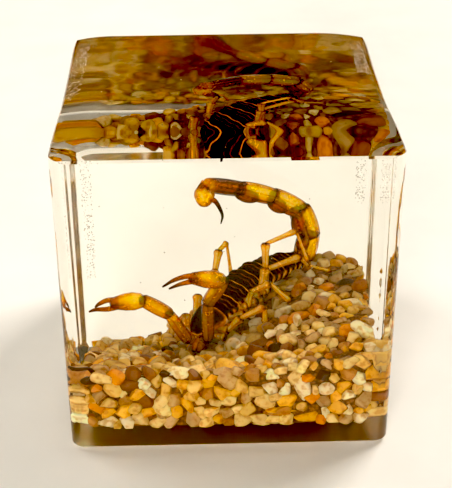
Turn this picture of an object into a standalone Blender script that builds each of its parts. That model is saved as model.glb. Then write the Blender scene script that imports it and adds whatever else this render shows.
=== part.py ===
"""A scorpion on a bed of gravel, cast in a clear resin block.

The block is a cube of 44 mm with a top that was polished by hand, and stands on its flat bottom. The
scorpion is one piece. It rests on the gravel, and both fill a pocket in the resin. The clear solid is
parted level through that pocket, so that it is made as a lower and an upper half. X runs to the right,
Y to the back and Z up, and the origin is the middle of the bottom face. Lengths are in metres, and a
pose is written in millimetres.
"""
import math
import random

import bmesh
import bpy
import numpy as np
from mathutils import Vector

MM = 0.001

# Resin block
BLOCK_EDGE = 44 * MM
EDGE_CHAMFER = 0.6 * MM       # along the bottom and the top
CORNER_ROUND = 1.8 * MM       # the four upright edges are rounded to this radius
# The tilt of the hand-polished top in degrees, at distances (mm) from its front edge. It rises
# steeply at the front, dips a little in the middle, and rounds off again at the back.
FRONT_TO_BACK = [(0, 7), (5.3, -1), (12.8, -5.4), (17.6, -5), (21.5, -1), (26, 3.5), (33, 5), (38, 2),
                 (44, -9)]
LEFT_TO_RIGHT = [(0, 13), (5.5, 0), (36, 0), (44, -12)]
FRONT_EDGE_REACH = 6.5 * MM   # the rise from left to right fades out over this, so the front edge is level
PROFILE_STEP = 0.1            # the tilts are added up at this step (mm)
TOP_LINES_X = [0, 0.6, 2.5, 5.5, 20, 36, 39, 42, 43.4, 44]     # where the top is bent (mm)
TOP_LINES_Y = [0, 0.6, 1.8, 3.2, 5, 8, 13, 18, 22, 26, 33, 38, 41, 43.4, 44]
PARTING_HEIGHT = 8.2 * MM
FIT_GAP = 0.3 * MM            # left between neighbouring pieces

# Gravel bed
GRAVEL_HALF_WIDTH = 21.2 * MM     # the gravel reaches almost to the side walls
GRAVEL_HALF_DEPTH = 19.6 * MM     # and leaves clear resin along the front and the back
FLOOR_FRONT = 2.3 * MM        # the clear base under the gravel thins towards the back
FLOOR_BACK = 0.8 * MM
THIN_LAYER = 1.2 * MM         # the bed is at least this thick, about one grain
SLOPE_LOW = -1.0 * MM         # the slope climbs to the right, from under the floor at the left
SLOPE_HIGH = 14.6 * MM
SLOPE_START = -20 * MM
SLOPE_END = 16 * MM
SLOPE_TILT = 0.1              # and a little to the back
BANK_HIGH = 12 * MM           # the bank lies along the front and falls to the back
BANK_FALL = 0.27
BLEND = 1 * MM                # the two run into each other over this height
GRAVEL_CELLS = 18             # along each side of the bed
GRAIN_RELIEF = 0.45 * MM
GRAVEL_SEED = 7

# Scorpion: centre (mm), half width and half height (mm), from the head to the root of the tail
CARAPACE = [
    ((-4.6, 3.3, 7.9), 1.3, 0.9),
    ((-4.2, 3.8, 8.6), 2.0, 1.3),
    ((-3.3, 4.9, 9.8), 2.5, 1.7),
    ((-1.9, 6.4, 11.0), 2.9, 1.9),
]
BACK_PLATES = [
    ((-1.6, 6.8, 11.3), 2.8, 1.8),
    ((-0.1, 8.3, 12.7), 3.0, 2.0),
    ((1.5, 9.9, 13.8), 3.2, 2.1),
    ((3.2, 11.6, 14.7), 3.3, 2.1),
    ((5.0, 13.3, 15.3), 3.2, 2.0),
    ((7.0, 15.0, 15.6), 2.9, 1.9),
    ((9.0, 16.8, 15.7), 2.4, 1.7),
    ((11.0, 18.2, 15.6), 1.8, 1.4),
]
PLATE_STEP = 0.88             # each back plate starts this much narrower than the one before it ends

# Tail: its joints from the body to the sting, and the widest radius between two of them (mm)
TAIL_JOINTS = [(10.6, 17.9, 15.6), (11.9, 18.7, 16.2), (12.6, 18.8, 19.7), (11.2, 18.9, 23.8),
               (7.3, 18.1, 26.2), (2.7, 16.5, 28.0), (-2.3, 13.2, 29.8)]
TAIL_RADII = [1.3, 1.7, 1.8, 1.55, 1.35, 1.2]
BULB = [((-2.6, 13.1, 30.0), 0.8), ((-2.9, 12.9, 29.4), 1.2), ((-3.1, 12.5, 28.5), 1.4),
        ((-2.9, 12.2, 27.7), 1.2), ((-2.4, 11.9, 27.2), 0.7)]
STING = [((-2.6, 12.0, 27.5), 0.6), ((-1.6, 11.6, 27.1), 0.44), ((-0.8, 11.4, 26.4), 0.34),
         ((-0.35, 11.2, 25.4), 0.26), ((-0.6, 11.0, 24.2), 0.12)]

# Pincers: joints from the shoulder to the hand's end (mm), and the widest radius between two of them
FAR_ARM = [(-4.2, 5.0, 8.0), (-5.6, 4.4, 7.4), (-8.3, 3.5, 12.4), (-11.9, 1.8, 15.4), (-16.2, 0.9, 15.3)]
NEAR_ARM = [(-3.4, 4.2, 7.8), (-2.7, 2.6, 8.2), (-2.7, 0.9, 14.6), (-0.4, 0.0, 18.4), (-4.9, -0.9, 19.2)]
ARM_RADII = [0.8, 0.95, 1.1, 1.3]
FINGER_RADII = [0.5, 0.4, 0.3, 0.14]
FAR_FINGERS = [
    [(-15.3, 0.9, 15.8), (-16.9, 0.7, 15.9), (-18.1, 0.5, 15.4), (-18.7, 0.4, 14.9)],
    [(-15.4, 0.9, 14.8), (-16.9, 0.6, 14.5), (-18.6, 0.2, 14.6), (-19.6, 0.1, 14.3)],
]
NEAR_FINGERS = [
    [(-4.0, -0.9, 19.6), (-5.7, -1.2, 19.6), (-7.4, -1.7, 19.2), (-9.0, -2.1, 18.5)],
    [(-4.1, -0.9, 18.8), (-5.4, -1.0, 18.6), (-6.7, -1.2, 18.4), (-8.1, -1.6, 18.0)],
]

# Legs: joints from the body to the foot (mm), and the radius of each stretch
LEG_RADII = [0.62, 0.55, 0.5, 0.38, 0.25]
NEAR_LEGS = [
    [(-1.4, 4.9, 9.3), (0.2, 3.9, 9.0), (2.0, 3.5, 10.8), (5.5, 2.6, 13.0), (5.5, 2.2, 10.9)],
    [(0.6, 7.0, 11.5), (3.1, 6.6, 12.2), (3.4, 8.0, 14.0), (6.4, 7.5, 15.7), (9.3, 6.6, 12.9)],
    [(2.4, 9.0, 12.4), (5.0, 8.4, 13.6), (5.8, 9.6, 17.4), (5.8, 10.3, 21.2), (10.3, 12.7, 22.4),
     (12.2, 12.9, 17.2)],
    [(3.2, 10.0, 13.0), (5.9, 9.4, 13.4), (5.7, 10.6, 16.8), (11.0, 13.6, 17.8), (12.3, 13.8, 16.4),
     (15.6, 14.0, 15.2)],
]
FAR_LEGS = [
    [(-4.0, 5.6, 8.7), (-5.8, 7.0, 8.2), (-6.0, 8.6, 10.2), (-7.4, 9.8, 8.2)],
    [(-2.8, 7.6, 9.8), (-4.4, 9.6, 10.0), (-4.1, 11.4, 12.4), (-4.0, 13.0, 9.2)],
    [(-0.8, 9.6, 11.4), (-2.0, 12.0, 12.6), (-1.5, 15.0, 15.2), (-0.9, 16.2, 18.2), (0.3, 17.0, 19.2),
     (1.0, 18.2, 13.0)],
    [(1.2, 11.6, 13.0), (0.8, 14.2, 12.9), (2.0, 16.4, 13.9), (3.8, 18.0, 12.6)],
]
JAWS = [[(-4.0, 4.0, 7.5), (-4.6, 3.0, 6.9), (-4.9, 2.3, 6.4)],
        [(-3.5, 3.7, 7.5), (-3.9, 2.6, 6.9), (-4.2, 1.9, 6.4)]]
JAW_RADII = [0.7, 0.6, 0.3]

BODY_SIDE = (0.7, -0.7, 0.0)  # level, and square to the way the body lies
WAIST = 0.72                  # the end of each limb segment against its middle
BODY_SIDES = 12
TAIL_SIDES = 8
ARM_SIDES = 8
LEG_SIDES = 5
POCKET_SIDES = 5
LEG_POCKET_SIDES = 4
FINGERTIP_ROOM = 0.6          # one finger of each pincer reaches this much (mm) further


def clear_scene():
    for old in list(bpy.data.objects):
        bpy.data.objects.remove(old)


def make_material(name, colour, roughness, transmission=0.0):
    material = bpy.data.materials.new(name)
    material.use_nodes = True
    shader = material.node_tree.nodes["Principled BSDF"]
    shader.inputs["Base Color"].default_value = (*colour, 1)
    shader.inputs["Roughness"].default_value = roughness
    shader.inputs["Metallic"].default_value = 0.0
    shader.inputs["Transmission Weight"].default_value = transmission
    return material


def make_object(name, mesh, material=None):
    mesh.name = name
    piece = bpy.data.objects.new(name, mesh)
    bpy.context.collection.objects.link(piece)
    if material:
        mesh.materials.clear()
        mesh.materials.append(material)
    return piece


def closed_mesh(bm):
    """Turn every face outwards and give the bmesh back as a mesh."""
    bmesh.ops.recalc_face_normals(bm, faces=bm.faces)
    mesh = bpy.data.meshes.new("shape")
    bm.to_mesh(mesh)
    bm.free()
    return mesh


def bridge(bm, rings):
    """Join a stack of equal rings with quads and close both ends."""
    count = len(rings[0])
    for lower, upper in zip(rings, rings[1:]):
        for i in range(count):
            j = (i + 1) % count
            bm.faces.new((lower[i], lower[j], upper[j], upper[i]))
    bm.faces.new(rings[0])
    bm.faces.new(rings[-1])


def combine(base, others, operation):
    """Join meshes to the base, or cut them from it, all at once."""
    piece = make_object("joined", base)
    group = bpy.data.collections.new("others")
    bpy.context.scene.collection.children.link(group)
    used = [piece]
    for mesh in others:
        other = bpy.data.objects.new("other", mesh)
        group.objects.link(other)
        used.append(other)
    boolean = piece.modifiers.new("combine", 'BOOLEAN')
    boolean.solver = 'EXACT'
    boolean.operation = operation
    boolean.operand_type = 'COLLECTION'
    boolean.collection = group
    evaluated = piece.evaluated_get(bpy.context.evaluated_depsgraph_get())
    result = bpy.data.meshes.new_from_object(evaluated)
    for old in used:
        bpy.data.objects.remove(old)
    bpy.data.collections.remove(group)
    return largest_body(result)


def largest_body(mesh):
    """Drop the crumbs that a cut leaves, and keep the one main body."""
    bm = bmesh.new()
    bm.from_mesh(mesh)
    unseen = set(bm.faces)
    bodies = []
    while unseen:
        front = [unseen.pop()]
        body = set(front)
        while front:
            for edge in front.pop().edges:
                if len(edge.link_faces) == 2:
                    near = set(edge.link_faces) - body
                    body |= near
                    front.extend(near)
        unseen -= body
        bodies.append(body)
    bodies.sort(key=len)
    crumbs = [face for body in bodies[:-1] for face in body]
    bmesh.ops.delete(bm, geom=crumbs, context='FACES')
    bmesh.ops.triangulate(bm, faces=[face for face in bm.faces if len(face.verts) > 4])
    bm.to_mesh(mesh)
    bm.free()
    return mesh


# ---- resin block ----

def square_ring(bm, inset, height):
    """A square with rounded corners, drawn level at one height, this far inside the block's faces."""
    middle = BLOCK_EDGE / 2 - CORNER_ROUND
    radius = CORNER_ROUND - inset
    ring = []
    for quarter in range(4):
        for degrees in (0, 45, 90):
            turn = math.radians(90 * quarter + degrees)
            corner = math.radians(90 * quarter + 45)
            x = math.copysign(middle, math.cos(corner)) + radius * math.cos(turn)
            y = math.copysign(middle, math.sin(corner)) + radius * math.sin(turn)
            ring.append(bm.verts.new((x, y, height)))
    return ring


def lower_block():
    bm = bmesh.new()
    bridge(bm, [
        square_ring(bm, EDGE_CHAMFER, 0.0),
        square_ring(bm, 0.0, EDGE_CHAMFER),
        square_ring(bm, 0.0, PARTING_HEIGHT - FIT_GAP / 2),
    ])
    return closed_mesh(bm)


def relief_block(xs, ys, height, floor):
    """A solid with a level floor, and a top whose height is asked at each crossing of the lines."""
    bm = bmesh.new()
    top = [[bm.verts.new((x, y, height(x, y))) for y in ys] for x in xs]
    last_x, last_y = len(xs) - 1, len(ys) - 1
    for i in range(last_x):
        for j in range(last_y):
            bm.faces.new((top[i][j], top[i + 1][j], top[i + 1][j + 1]))
            bm.faces.new((top[i][j], top[i + 1][j + 1], top[i][j + 1]))
    rim = ([top[i][0] for i in range(last_x)] + [top[last_x][j] for j in range(last_y)]
           + [top[i][last_y] for i in range(last_x, 0, -1)] + [top[0][j] for j in range(last_y, 0, -1)])
    under = [bm.verts.new((v.co.x, v.co.y, floor)) for v in rim]
    for i in range(len(rim)):
        j = (i + 1) % len(rim)
        bm.faces.new((rim[j], rim[i], under[i], under[j]))
    bm.faces.new(under)
    return bm


def cut_flat(bm, point, normal):
    """Slice off what lies beyond a plane, and close the cut."""
    everything = bm.verts[:] + bm.edges[:] + bm.faces[:]
    cut = bmesh.ops.bisect_plane(bm, geom=everything, plane_co=point, plane_no=normal, clear_outer=True)
    rim = [part for part in cut["geom_cut"] if isinstance(part, bmesh.types.BMEdge)]
    bmesh.ops.edgenet_fill(bm, edges=rim)


def profile(tilts, distance):
    """Height along the top at a distance from its edge, added up from its tilts."""
    places, angles = zip(*tilts)
    middles = np.arange(PROFILE_STEP / 2, distance / MM, PROFILE_STEP)
    slopes = np.tan(np.radians(np.interp(middles, places, angles)))
    return float(slopes.sum()) * PROFILE_STEP * MM


def top_height(x, y):
    """The polished top: a front to back and a left to right profile, and a chamfer along each edge."""
    half = BLOCK_EDGE / 2
    fading = max(0.0, 1 - (half + y) / FRONT_EDGE_REACH) ** 2
    height = BLOCK_EDGE + profile(FRONT_TO_BACK, half + y) + profile(LEFT_TO_RIGHT, half + x) * (1 - fading)
    for distance in (half + y, half - y, half + x, half - x):
        height -= max(0.0, EDGE_CHAMFER - distance)
    return height


def upper_block():
    half = BLOCK_EDGE / 2
    xs = [line * MM - half for line in TOP_LINES_X]
    ys = [line * MM - half for line in TOP_LINES_Y]
    bm = relief_block(xs, ys, top_height, PARTING_HEIGHT + FIT_GAP / 2)
    middle = half - CORNER_ROUND
    reach = CORNER_ROUND * math.cos(math.radians(22.5))
    for quarter in range(4):
        corner = math.radians(90 * quarter + 45)
        for degrees in (22.5, 67.5):
            turn = math.radians(90 * quarter + degrees)
            x = math.copysign(middle, math.cos(corner)) + reach * math.cos(turn)
            y = math.copysign(middle, math.sin(corner)) + reach * math.sin(turn)
            cut_flat(bm, (x, y, 0), (math.cos(turn), math.sin(turn), 0))
    return closed_mesh(bm)


# ---- gravel bed ----

def smooth_step(value, start, end):
    t = min(1.0, max(0.0, (value - start) / (end - start)))
    return t * t * (3 - 2 * t)


def gravel_floor(y):
    """Height of the clear base that the gravel lies on."""
    return FLOOR_FRONT + (FLOOR_BACK - FLOOR_FRONT) * (y + GRAVEL_HALF_DEPTH) / (2 * GRAVEL_HALF_DEPTH)


def gravel_surface(x, y):
    """Height of the bed: a slope that climbs to the right, and a bank along the front."""
    slope = SLOPE_LOW + (SLOPE_HIGH - SLOPE_LOW) * smooth_step(x, SLOPE_START, SLOPE_END)
    slope += SLOPE_TILT * y
    bank = BANK_HIGH - BANK_FALL * (y + GRAVEL_HALF_DEPTH)
    surface = max(slope, bank) + BLEND * math.log1p(math.exp(-abs(slope - bank) / BLEND))
    return max(surface, gravel_floor(y) + THIN_LAYER)


def gravel_bed(grow=0.0):
    """The bed as one solid with a grainy top. Grown, it is the pocket that the bed lies in."""
    dice = random.Random(GRAVEL_SEED)
    steps = [2 * i / GRAVEL_CELLS - 1 for i in range(GRAVEL_CELLS + 1)]
    xs = [(GRAVEL_HALF_WIDTH + grow) * step for step in steps]
    ys = [(GRAVEL_HALF_DEPTH + grow) * step for step in steps]

    def height(x, y):
        return gravel_surface(x, y) + dice.uniform(-GRAIN_RELIEF, GRAIN_RELIEF) + grow

    bm = relief_block(xs, ys, height, -BLOCK_EDGE)
    fall = (FLOOR_BACK - FLOOR_FRONT) / (2 * GRAVEL_HALF_DEPTH)
    cut_flat(bm, (0, 0, gravel_floor(0) - grow), (0, fall, -1))
    return largest_body(closed_mesh(bm))


# ---- scorpion ----

def directions(path):
    """The way the path runs at each of its points."""
    result = []
    for i in range(len(path)):
        before = path[max(0, i - 1)]
        after = path[min(len(path) - 1, i + 1)]
        ahead = (after - path[i]).normalized() if i < len(path) - 1 else Vector()
        behind = (path[i] - before).normalized() if i > 0 else Vector()
        result.append((ahead + behind).normalized())
    return result


def tube(path, widths, heights, side, sides):
    """A closed tube of oval rings along a path. The side direction turns with the path."""
    bm = bmesh.new()
    rings = []
    ways = directions(path)
    across = Vector(side)
    for centre, way, width, height in zip(path, ways, widths, heights):
        across = (across - way * across.dot(way)).normalized()
        above = across.cross(way)
        ring = []
        for k in range(sides):
            angle = 2 * math.pi * k / sides
            offset = across * (width * math.cos(angle)) + above * (height * math.sin(angle))
            ring.append(bm.verts.new(centre + offset))
        rings.append(ring)
    bridge(bm, rings)
    return closed_mesh(bm)


def in_metres(point):
    return Vector(point) * MM


def lengthen(path, by):
    """Move both ends of a path outwards."""
    longer = list(path)
    longer[0] = path[0] + (path[0] - path[1]).normalized() * by
    longer[-1] = path[-1] + (path[-1] - path[-2]).normalized() * by
    return longer


def body_solid():
    """Carapace and stepped back plates, from the head to the root of the tail."""
    path, widths, heights = [], [], []
    for centre, width, height in CARAPACE:
        path.append(in_metres(centre))
        widths.append(width * MM)
        heights.append(height * MM)
    for (start, w0, h0), (end, w1, h1) in zip(BACK_PLATES, BACK_PLATES[1:]):
        first = in_metres(start)
        rear = in_metres(end)
        path += [first.lerp(rear, 0.12), first.lerp(rear, 0.95)]
        widths += [w0 * PLATE_STEP * MM, w1 * MM]
        heights += [h0 * PLATE_STEP * MM, h1 * MM]
    return tube(path, widths, heights, BODY_SIDE, BODY_SIDES)


def jointed_limb(joints, radii, side, sides):
    """A chain of straight barrels. Each runs a little past its joints, into its neighbours."""
    barrels = []
    for start, end, radius in zip(joints, joints[1:], radii):
        waist = radius * WAIST * MM
        ends = lengthen([in_metres(start), in_metres(end)], waist / 2)
        path = [ends[0], ends[0].lerp(ends[1], 0.25), ends[0].lerp(ends[1], 0.75), ends[1]]
        sizes = [waist, radius * MM, radius * MM, waist]
        barrels.append(tube(path, sizes, sizes, side, sides))
    return barrels


def plain_limb(points, radii, side, sides):
    sizes = [radius * MM for radius in radii]
    return tube([in_metres(p) for p in points], sizes, sizes, side, sides)


def scorpion_solid():
    parts = jointed_limb(TAIL_JOINTS, TAIL_RADII, BODY_SIDE, TAIL_SIDES)
    for shape in (BULB, STING):
        parts.append(plain_limb([p for p, r in shape], [r for p, r in shape], BODY_SIDE, TAIL_SIDES))
    for arm, fingers in ((FAR_ARM, FAR_FINGERS), (NEAR_ARM, NEAR_FINGERS)):
        parts += jointed_limb(arm, ARM_RADII, (0, 1, 0), ARM_SIDES)
        for finger in fingers:
            parts.append(plain_limb(finger, FINGER_RADII, (0, 1, 0), LEG_SIDES))
    for leg in NEAR_LEGS + FAR_LEGS:
        parts += jointed_limb(leg, LEG_RADII, (0, 1, 0.1), LEG_SIDES)
    for jaw in JAWS:
        parts.append(plain_limb(jaw, JAW_RADII, BODY_SIDE, LEG_SIDES))
    return combine(body_solid(), parts, 'UNION')


# ---- the scorpion's pocket: plainer shapes, larger all round by the gap ----

def round_pocket(points, radii, side, sides=POCKET_SIDES):
    """A tube whose flat sides still clear a round limb of these radii by the gap."""
    sizes = [(radius * MM + FIT_GAP) / math.cos(math.pi / sides) for radius in radii]
    path = lengthen([in_metres(p) for p in points], FIT_GAP)
    return tube(path, sizes, sizes, side, sides)


def limb_pockets(joints, radii, side, sides=POCKET_SIDES):
    """One straight tube for each barrel of a limb, long enough to pass its rounded joints."""
    pockets = []
    for start, end, radius in zip(joints, joints[1:], radii):
        ends = lengthen([Vector(start), Vector(end)], radius * WAIST)
        pockets.append(round_pocket(ends, [radius, radius], side, sides))
    return pockets


def body_pocket():
    clear = 1 / math.cos(math.pi / BODY_SIDES)
    rings = CARAPACE + BACK_PLATES[1:]
    path = lengthen([in_metres(centre) for centre, width, height in rings], FIT_GAP)
    widths = [(width * MM + FIT_GAP) * clear for centre, width, height in rings]
    heights = [(height * MM + FIT_GAP) * clear for centre, width, height in rings]
    return tube(path, widths, heights, BODY_SIDE, BODY_SIDES)


def finger_pocket(fingers):
    """One tube round both fingers of a pincer, through the points midway between them."""
    first, second = fingers
    middles = [(Vector(p) + Vector(q)) / 2 for p, q in zip(first, second)]
    radii = []
    for p, q, radius in zip(first, second, FINGER_RADII):
        radii.append((Vector(p) - Vector(q)).length / 2 + radius)
    return round_pocket(lengthen(middles, FINGERTIP_ROOM), radii, (0, 1, 0))


def scorpion_pockets():
    pockets = limb_pockets(TAIL_JOINTS, TAIL_RADII, BODY_SIDE)
    pockets.append(round_pocket([p for p, r in BULB], [r for p, r in BULB], BODY_SIDE))
    pockets.append(round_pocket([p for p, r in STING], [r for p, r in STING], BODY_SIDE))
    for arm, fingers in ((FAR_ARM, FAR_FINGERS), (NEAR_ARM, NEAR_FINGERS)):
        pockets += limb_pockets(arm, ARM_RADII, (0, 1, 0))
        pockets.append(finger_pocket(fingers))
    for leg in NEAR_LEGS + FAR_LEGS:
        pockets += limb_pockets(leg, LEG_RADII, (0, 1, 0.1), LEG_POCKET_SIDES)
    for jaw in JAWS:
        pockets.append(round_pocket(jaw, JAW_RADII, BODY_SIDE))
    return pockets


def build():
    clear_scene()
    resin = make_material("clear_resin", (0.98, 0.95, 0.86), 0.02, transmission=1.0)
    stones = make_material("river_gravel", (0.62, 0.40, 0.17), 0.6)
    shell = make_material("scorpion_shell", (0.50, 0.24, 0.03), 0.3)

    scorpion = make_object("scorpion", scorpion_solid(), shell)
    scorpion.data.shade_smooth()
    scorpion.data.set_sharp_from_angle(angle=math.radians(50))

    animal_pocket = combine(body_pocket(), scorpion_pockets(), 'UNION')
    bed = combine(gravel_bed(), [animal_pocket.copy()], 'DIFFERENCE')
    make_object("gravel_bed", bed, stones)

    pocket = combine(gravel_bed(grow=FIT_GAP), [animal_pocket], 'UNION')
    for name, half in (("resin_lower_half", lower_block()), ("resin_upper_half", upper_block())):
        make_object(name, combine(half, [pocket.copy()], 'DIFFERENCE'), resin)


build()
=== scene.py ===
# %% [markdown]
# # A scorpion in a block of clear resin
#
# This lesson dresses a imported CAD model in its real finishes. The object is a desk block: a golden
# scorpion with its tail raised, standing on a slope of river gravel, with clear resin cast around both.
# The CAD model says where everything is. Each piece below stands in for one or two of its solids, or
# for a part of one, so nothing is moved and the block keeps its size.

import itertools
import math
import random

import bmesh
import bpy
import numpy as np
from mathutils import Matrix, Vector, kdtree


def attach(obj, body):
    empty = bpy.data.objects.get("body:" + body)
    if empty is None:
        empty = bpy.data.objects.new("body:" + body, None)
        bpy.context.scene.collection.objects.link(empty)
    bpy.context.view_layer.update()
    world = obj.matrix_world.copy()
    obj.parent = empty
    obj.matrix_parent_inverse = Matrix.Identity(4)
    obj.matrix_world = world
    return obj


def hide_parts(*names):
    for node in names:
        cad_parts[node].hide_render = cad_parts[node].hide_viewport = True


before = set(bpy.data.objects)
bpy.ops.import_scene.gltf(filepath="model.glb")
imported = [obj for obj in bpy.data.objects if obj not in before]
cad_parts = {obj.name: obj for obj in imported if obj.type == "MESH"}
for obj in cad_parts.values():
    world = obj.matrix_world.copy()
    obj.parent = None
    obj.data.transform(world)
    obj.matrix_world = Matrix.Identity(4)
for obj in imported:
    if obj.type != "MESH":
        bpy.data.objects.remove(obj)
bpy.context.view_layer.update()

# %% [markdown]
# ## Helpers
#
# Colours are easiest to pick as hex values, the way a paint program shows them, but the renderer
# works in linear light. One function turns the first into the second. Others start a material, add a
# node with its settings and links, and link what drives a shader, so that a material reads as a short
# list. The last puts a finished mesh in the scene, gives it its finish and ties it to the CAD model.

# %% Colours, nodes and pieces
MM = 0.001                     # Blender works in metres


def linear(hex_colour):
    """An sRGB hex colour as linear red, green, blue and alpha."""
    values = [int(hex_colour[i:i + 2], 16) / 255 for i in (1, 3, 5)]
    return (*[v / 12.92 if v <= 0.04045 else ((v + 0.055) / 1.055) ** 2.4 for v in values], 1.0)


def add_node(tree, kind, inputs=None, stops=None, **settings):
    """Add a node: its own settings, what goes into its sockets, and the stops of a colour ramp."""
    node = tree.nodes.new(kind)
    for name, value in settings.items():
        setattr(node, name, value)
    for socket, value in (inputs or {}).items():
        if isinstance(value, bpy.types.NodeSocket):
            tree.links.new(value, node.inputs[socket])
        else:
            node.inputs[socket].default_value = value
    for i, (position, colour) in enumerate(stops or []):
        elements = node.color_ramp.elements
        element = elements[i] if i < 2 else elements.new(position)
        element.position = position
        element.color = linear(colour)
    return node


def start_finish(name, values):
    """A new material, its node tree, its shader with plain values set, and the place on the object."""
    finish = bpy.data.materials.new(name)
    finish.use_nodes = True
    tree = finish.node_tree
    shader = tree.nodes["Principled BSDF"]
    for socket, value in values.items():
        shader.inputs[socket].default_value = value
    return finish, tree, shader, add_node(tree, "ShaderNodeTexCoord").outputs["Object"]


def feed(tree, node, sources):
    """Link the outputs of other nodes to a node's sockets."""
    for socket, source in sources.items():
        tree.links.new(source, node.inputs[socket])


def add_piece(name, mesh, finish, stands_for, crease=40):
    """Put a mesh in the scene as a piece that replaces CAD solids."""
    mesh.name = name
    mesh.materials.append(finish)
    mesh.shade_smooth()
    mesh.set_sharp_from_angle(angle=math.radians(crease))
    piece = bpy.data.objects.new(name, mesh)
    bpy.context.collection.objects.link(piece)
    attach(piece, "root")
    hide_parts(*stands_for)
    mesh.calc_loop_triangles()
    print(f"{name}: {len(mesh.loop_triangles)} triangles")
    return piece


# %% [markdown]
# ## The resin block
#
# The real block is clear casting resin, poured in a square mould in layers. Its sides copied the
# mould, so they are flat and its four upright edges are round, the front ones more so. Its top was
# ground and polished by hand, which rounds it off towards the edges, most of all at the front.
#
# The top could be sculpted, or bent with a lattice. Here it is a table of tilts instead, because the
# pictures that it mirrors show how a face leans and not how high it is, and so a tilt is what can be
# matched to the real block. One function adds the tilts up to a height.

# %% The polished top
BLOCK_EDGE = 44 * MM
HALF = BLOCK_EDGE / 2
TOP_CHAMFER = 0.25 * MM        # the fine chamfer that polishing left round the top
# The tilt of the top in degrees, at distances (mm) from its front edge, and then from its left edge.
# It rises steeply at the front, dips a little in the middle, and rounds off again at the back.
FRONT_TO_BACK = [(0, 7), (5.3, -1), (12.8, -5.4), (17.6, -5), (21, -1), (24, 1), (29, 0.5), (33, 4),
                 (38, 4), (44, -8)]
LEFT_TO_RIGHT = [(0, 13), (5.5, 0), (36, 0), (44, -12)]
FRONT_EDGE_REACH = 6.5 * MM    # the rise from left to right fades out over this, so the front edge is level
PROFILE_POINTS = np.linspace(0, BLOCK_EDGE, 441)


def profile(tilts):
    """Height along the top, added up from its tilts."""
    step = PROFILE_POINTS[1]
    middle = PROFILE_POINTS[:-1] + step / 2
    slopes = np.tan(np.radians(np.interp(middle / MM, *zip(*tilts))))
    return np.concatenate([[0], np.cumsum(slopes * step)])


rise_along = profile(FRONT_TO_BACK)
rise_across = profile(LEFT_TO_RIGHT)
crown = float(rise_along.max() + rise_across.max())
print("the top rises above its edges by up to", round(crown / MM, 2), "mm")


def top_height(x, y):
    """Height of the polished top, with a chamfer along each edge."""
    fading = max(0.0, 1 - (y + HALF) / FRONT_EDGE_REACH) ** 2
    height = BLOCK_EDGE + float(np.interp(y + HALF, PROFILE_POINTS, rise_along)
                                + np.interp(x + HALF, PROFILE_POINTS, rise_across) * (1 - fading))
    for distance in (HALF + y, HALF - y, HALF + x, HALF - x):
        height -= max(0.0, TOP_CHAMFER - distance)
    return height


# %% [markdown]
# One closed shape is all that the block takes. The things inside are simply placed in it: a pocket
# around them would show as a silver skin, because light would cross a thin layer of air. Two tools
# make such shapes. The first builds a closed solid whose top is a grid of heights. The second slices
# off what lies beyond a plane, and a few slices side by side make a round edge.

# %% Tools for closed solids
def relief_solid(lines_x, lines_y, height, floor):
    """A closed solid with a level floor and a top made of a grid."""
    bm = bmesh.new()
    top = [[bm.verts.new((x, y, height(x, y))) for y in lines_y] for x in lines_x]
    last_x, last_y = len(lines_x) - 1, len(lines_y) - 1
    for i in range(last_x):
        for j in range(last_y):
            bm.faces.new((top[i][j], top[i + 1][j], top[i + 1][j + 1], top[i][j + 1]))
    rim = ([top[i][0] for i in range(last_x)] + [top[last_x][j] for j in range(last_y)]
           + [top[i][last_y] for i in range(last_x, 0, -1)] + [top[0][j] for j in range(last_y, 0, -1)])
    under = [bm.verts.new((v.co.x, v.co.y, floor)) for v in rim]
    for i in range(len(rim)):
        j = (i + 1) % len(rim)
        bm.faces.new((rim[j], rim[i], under[i], under[j]))
    bm.faces.new(under)
    return bm


def slice_off(bm, point, normal):
    """Cut away what lies beyond a plane, and close the cut."""
    everything = bm.verts[:] + bm.edges[:] + bm.faces[:]
    cut = bmesh.ops.bisect_plane(bm, geom=everything, plane_co=point, plane_no=normal, clear_outer=True)
    rim = [part for part in cut["geom_cut"] if isinstance(part, bmesh.types.BMEdge)]
    bmesh.ops.edgenet_fill(bm, edges=rim)


def finished_mesh(bm):
    """The shape as a mesh, ready for a piece."""
    mesh = bpy.data.meshes.new("shape")
    bm.to_mesh(mesh)
    bm.free()
    return mesh


def closed_mesh(bm):
    """The same for one closed shape, with all its faces turned outwards."""
    bmesh.ops.recalc_face_normals(bm, faces=bm.faces)
    return finished_mesh(bm)


# %% [markdown]
# Stirring in the hardener brings in air. A few small bubbles are left, most of them in two rows up the
# back corners of the mould. Glass beads could be scattered for them, but the resin itself is what ends
# at a bubble. So each is a small ball in the block's own mesh, with its skin turned inside out.

# %% Air bubbles
BUBBLE_ROWS = [(-1, 12, 39, 330), (1, 24, 39, 200)]    # side, lowest and highest (mm), how many
ROW_ACROSS, ROW_BACK = (19.4, 20.9), (21.1, 21.7)      # how far out to the side and to the back (mm)
ROW_RADII = (0.04, 0.11)
STRAY_BUBBLES = 22
STRAY_ROOM = ((-18, 18), (-16, 19), (17, 40))          # the clear room above the gravel (mm)
STRAY_RADII = (0.05, 0.11)
dice = random.Random(11)       # one die for all that is scattered, so each run gives the same block


def bubbles():
    """Places and radii of the air bubbles: two rows up the back corners and a few strays."""
    found = []
    for side, low, high, count in BUBBLE_ROWS:
        for _ in range(count):
            place = (side * dice.uniform(*ROW_ACROSS), dice.uniform(*ROW_BACK), dice.uniform(low, high))
            found.append((Vector(place) * MM, dice.uniform(*ROW_RADII) * MM))
    for _ in range(STRAY_BUBBLES):
        place = [dice.uniform(*room) for room in STRAY_ROOM]
        found.append((Vector(place) * MM, dice.uniform(*STRAY_RADII) * MM))
    return found


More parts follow.
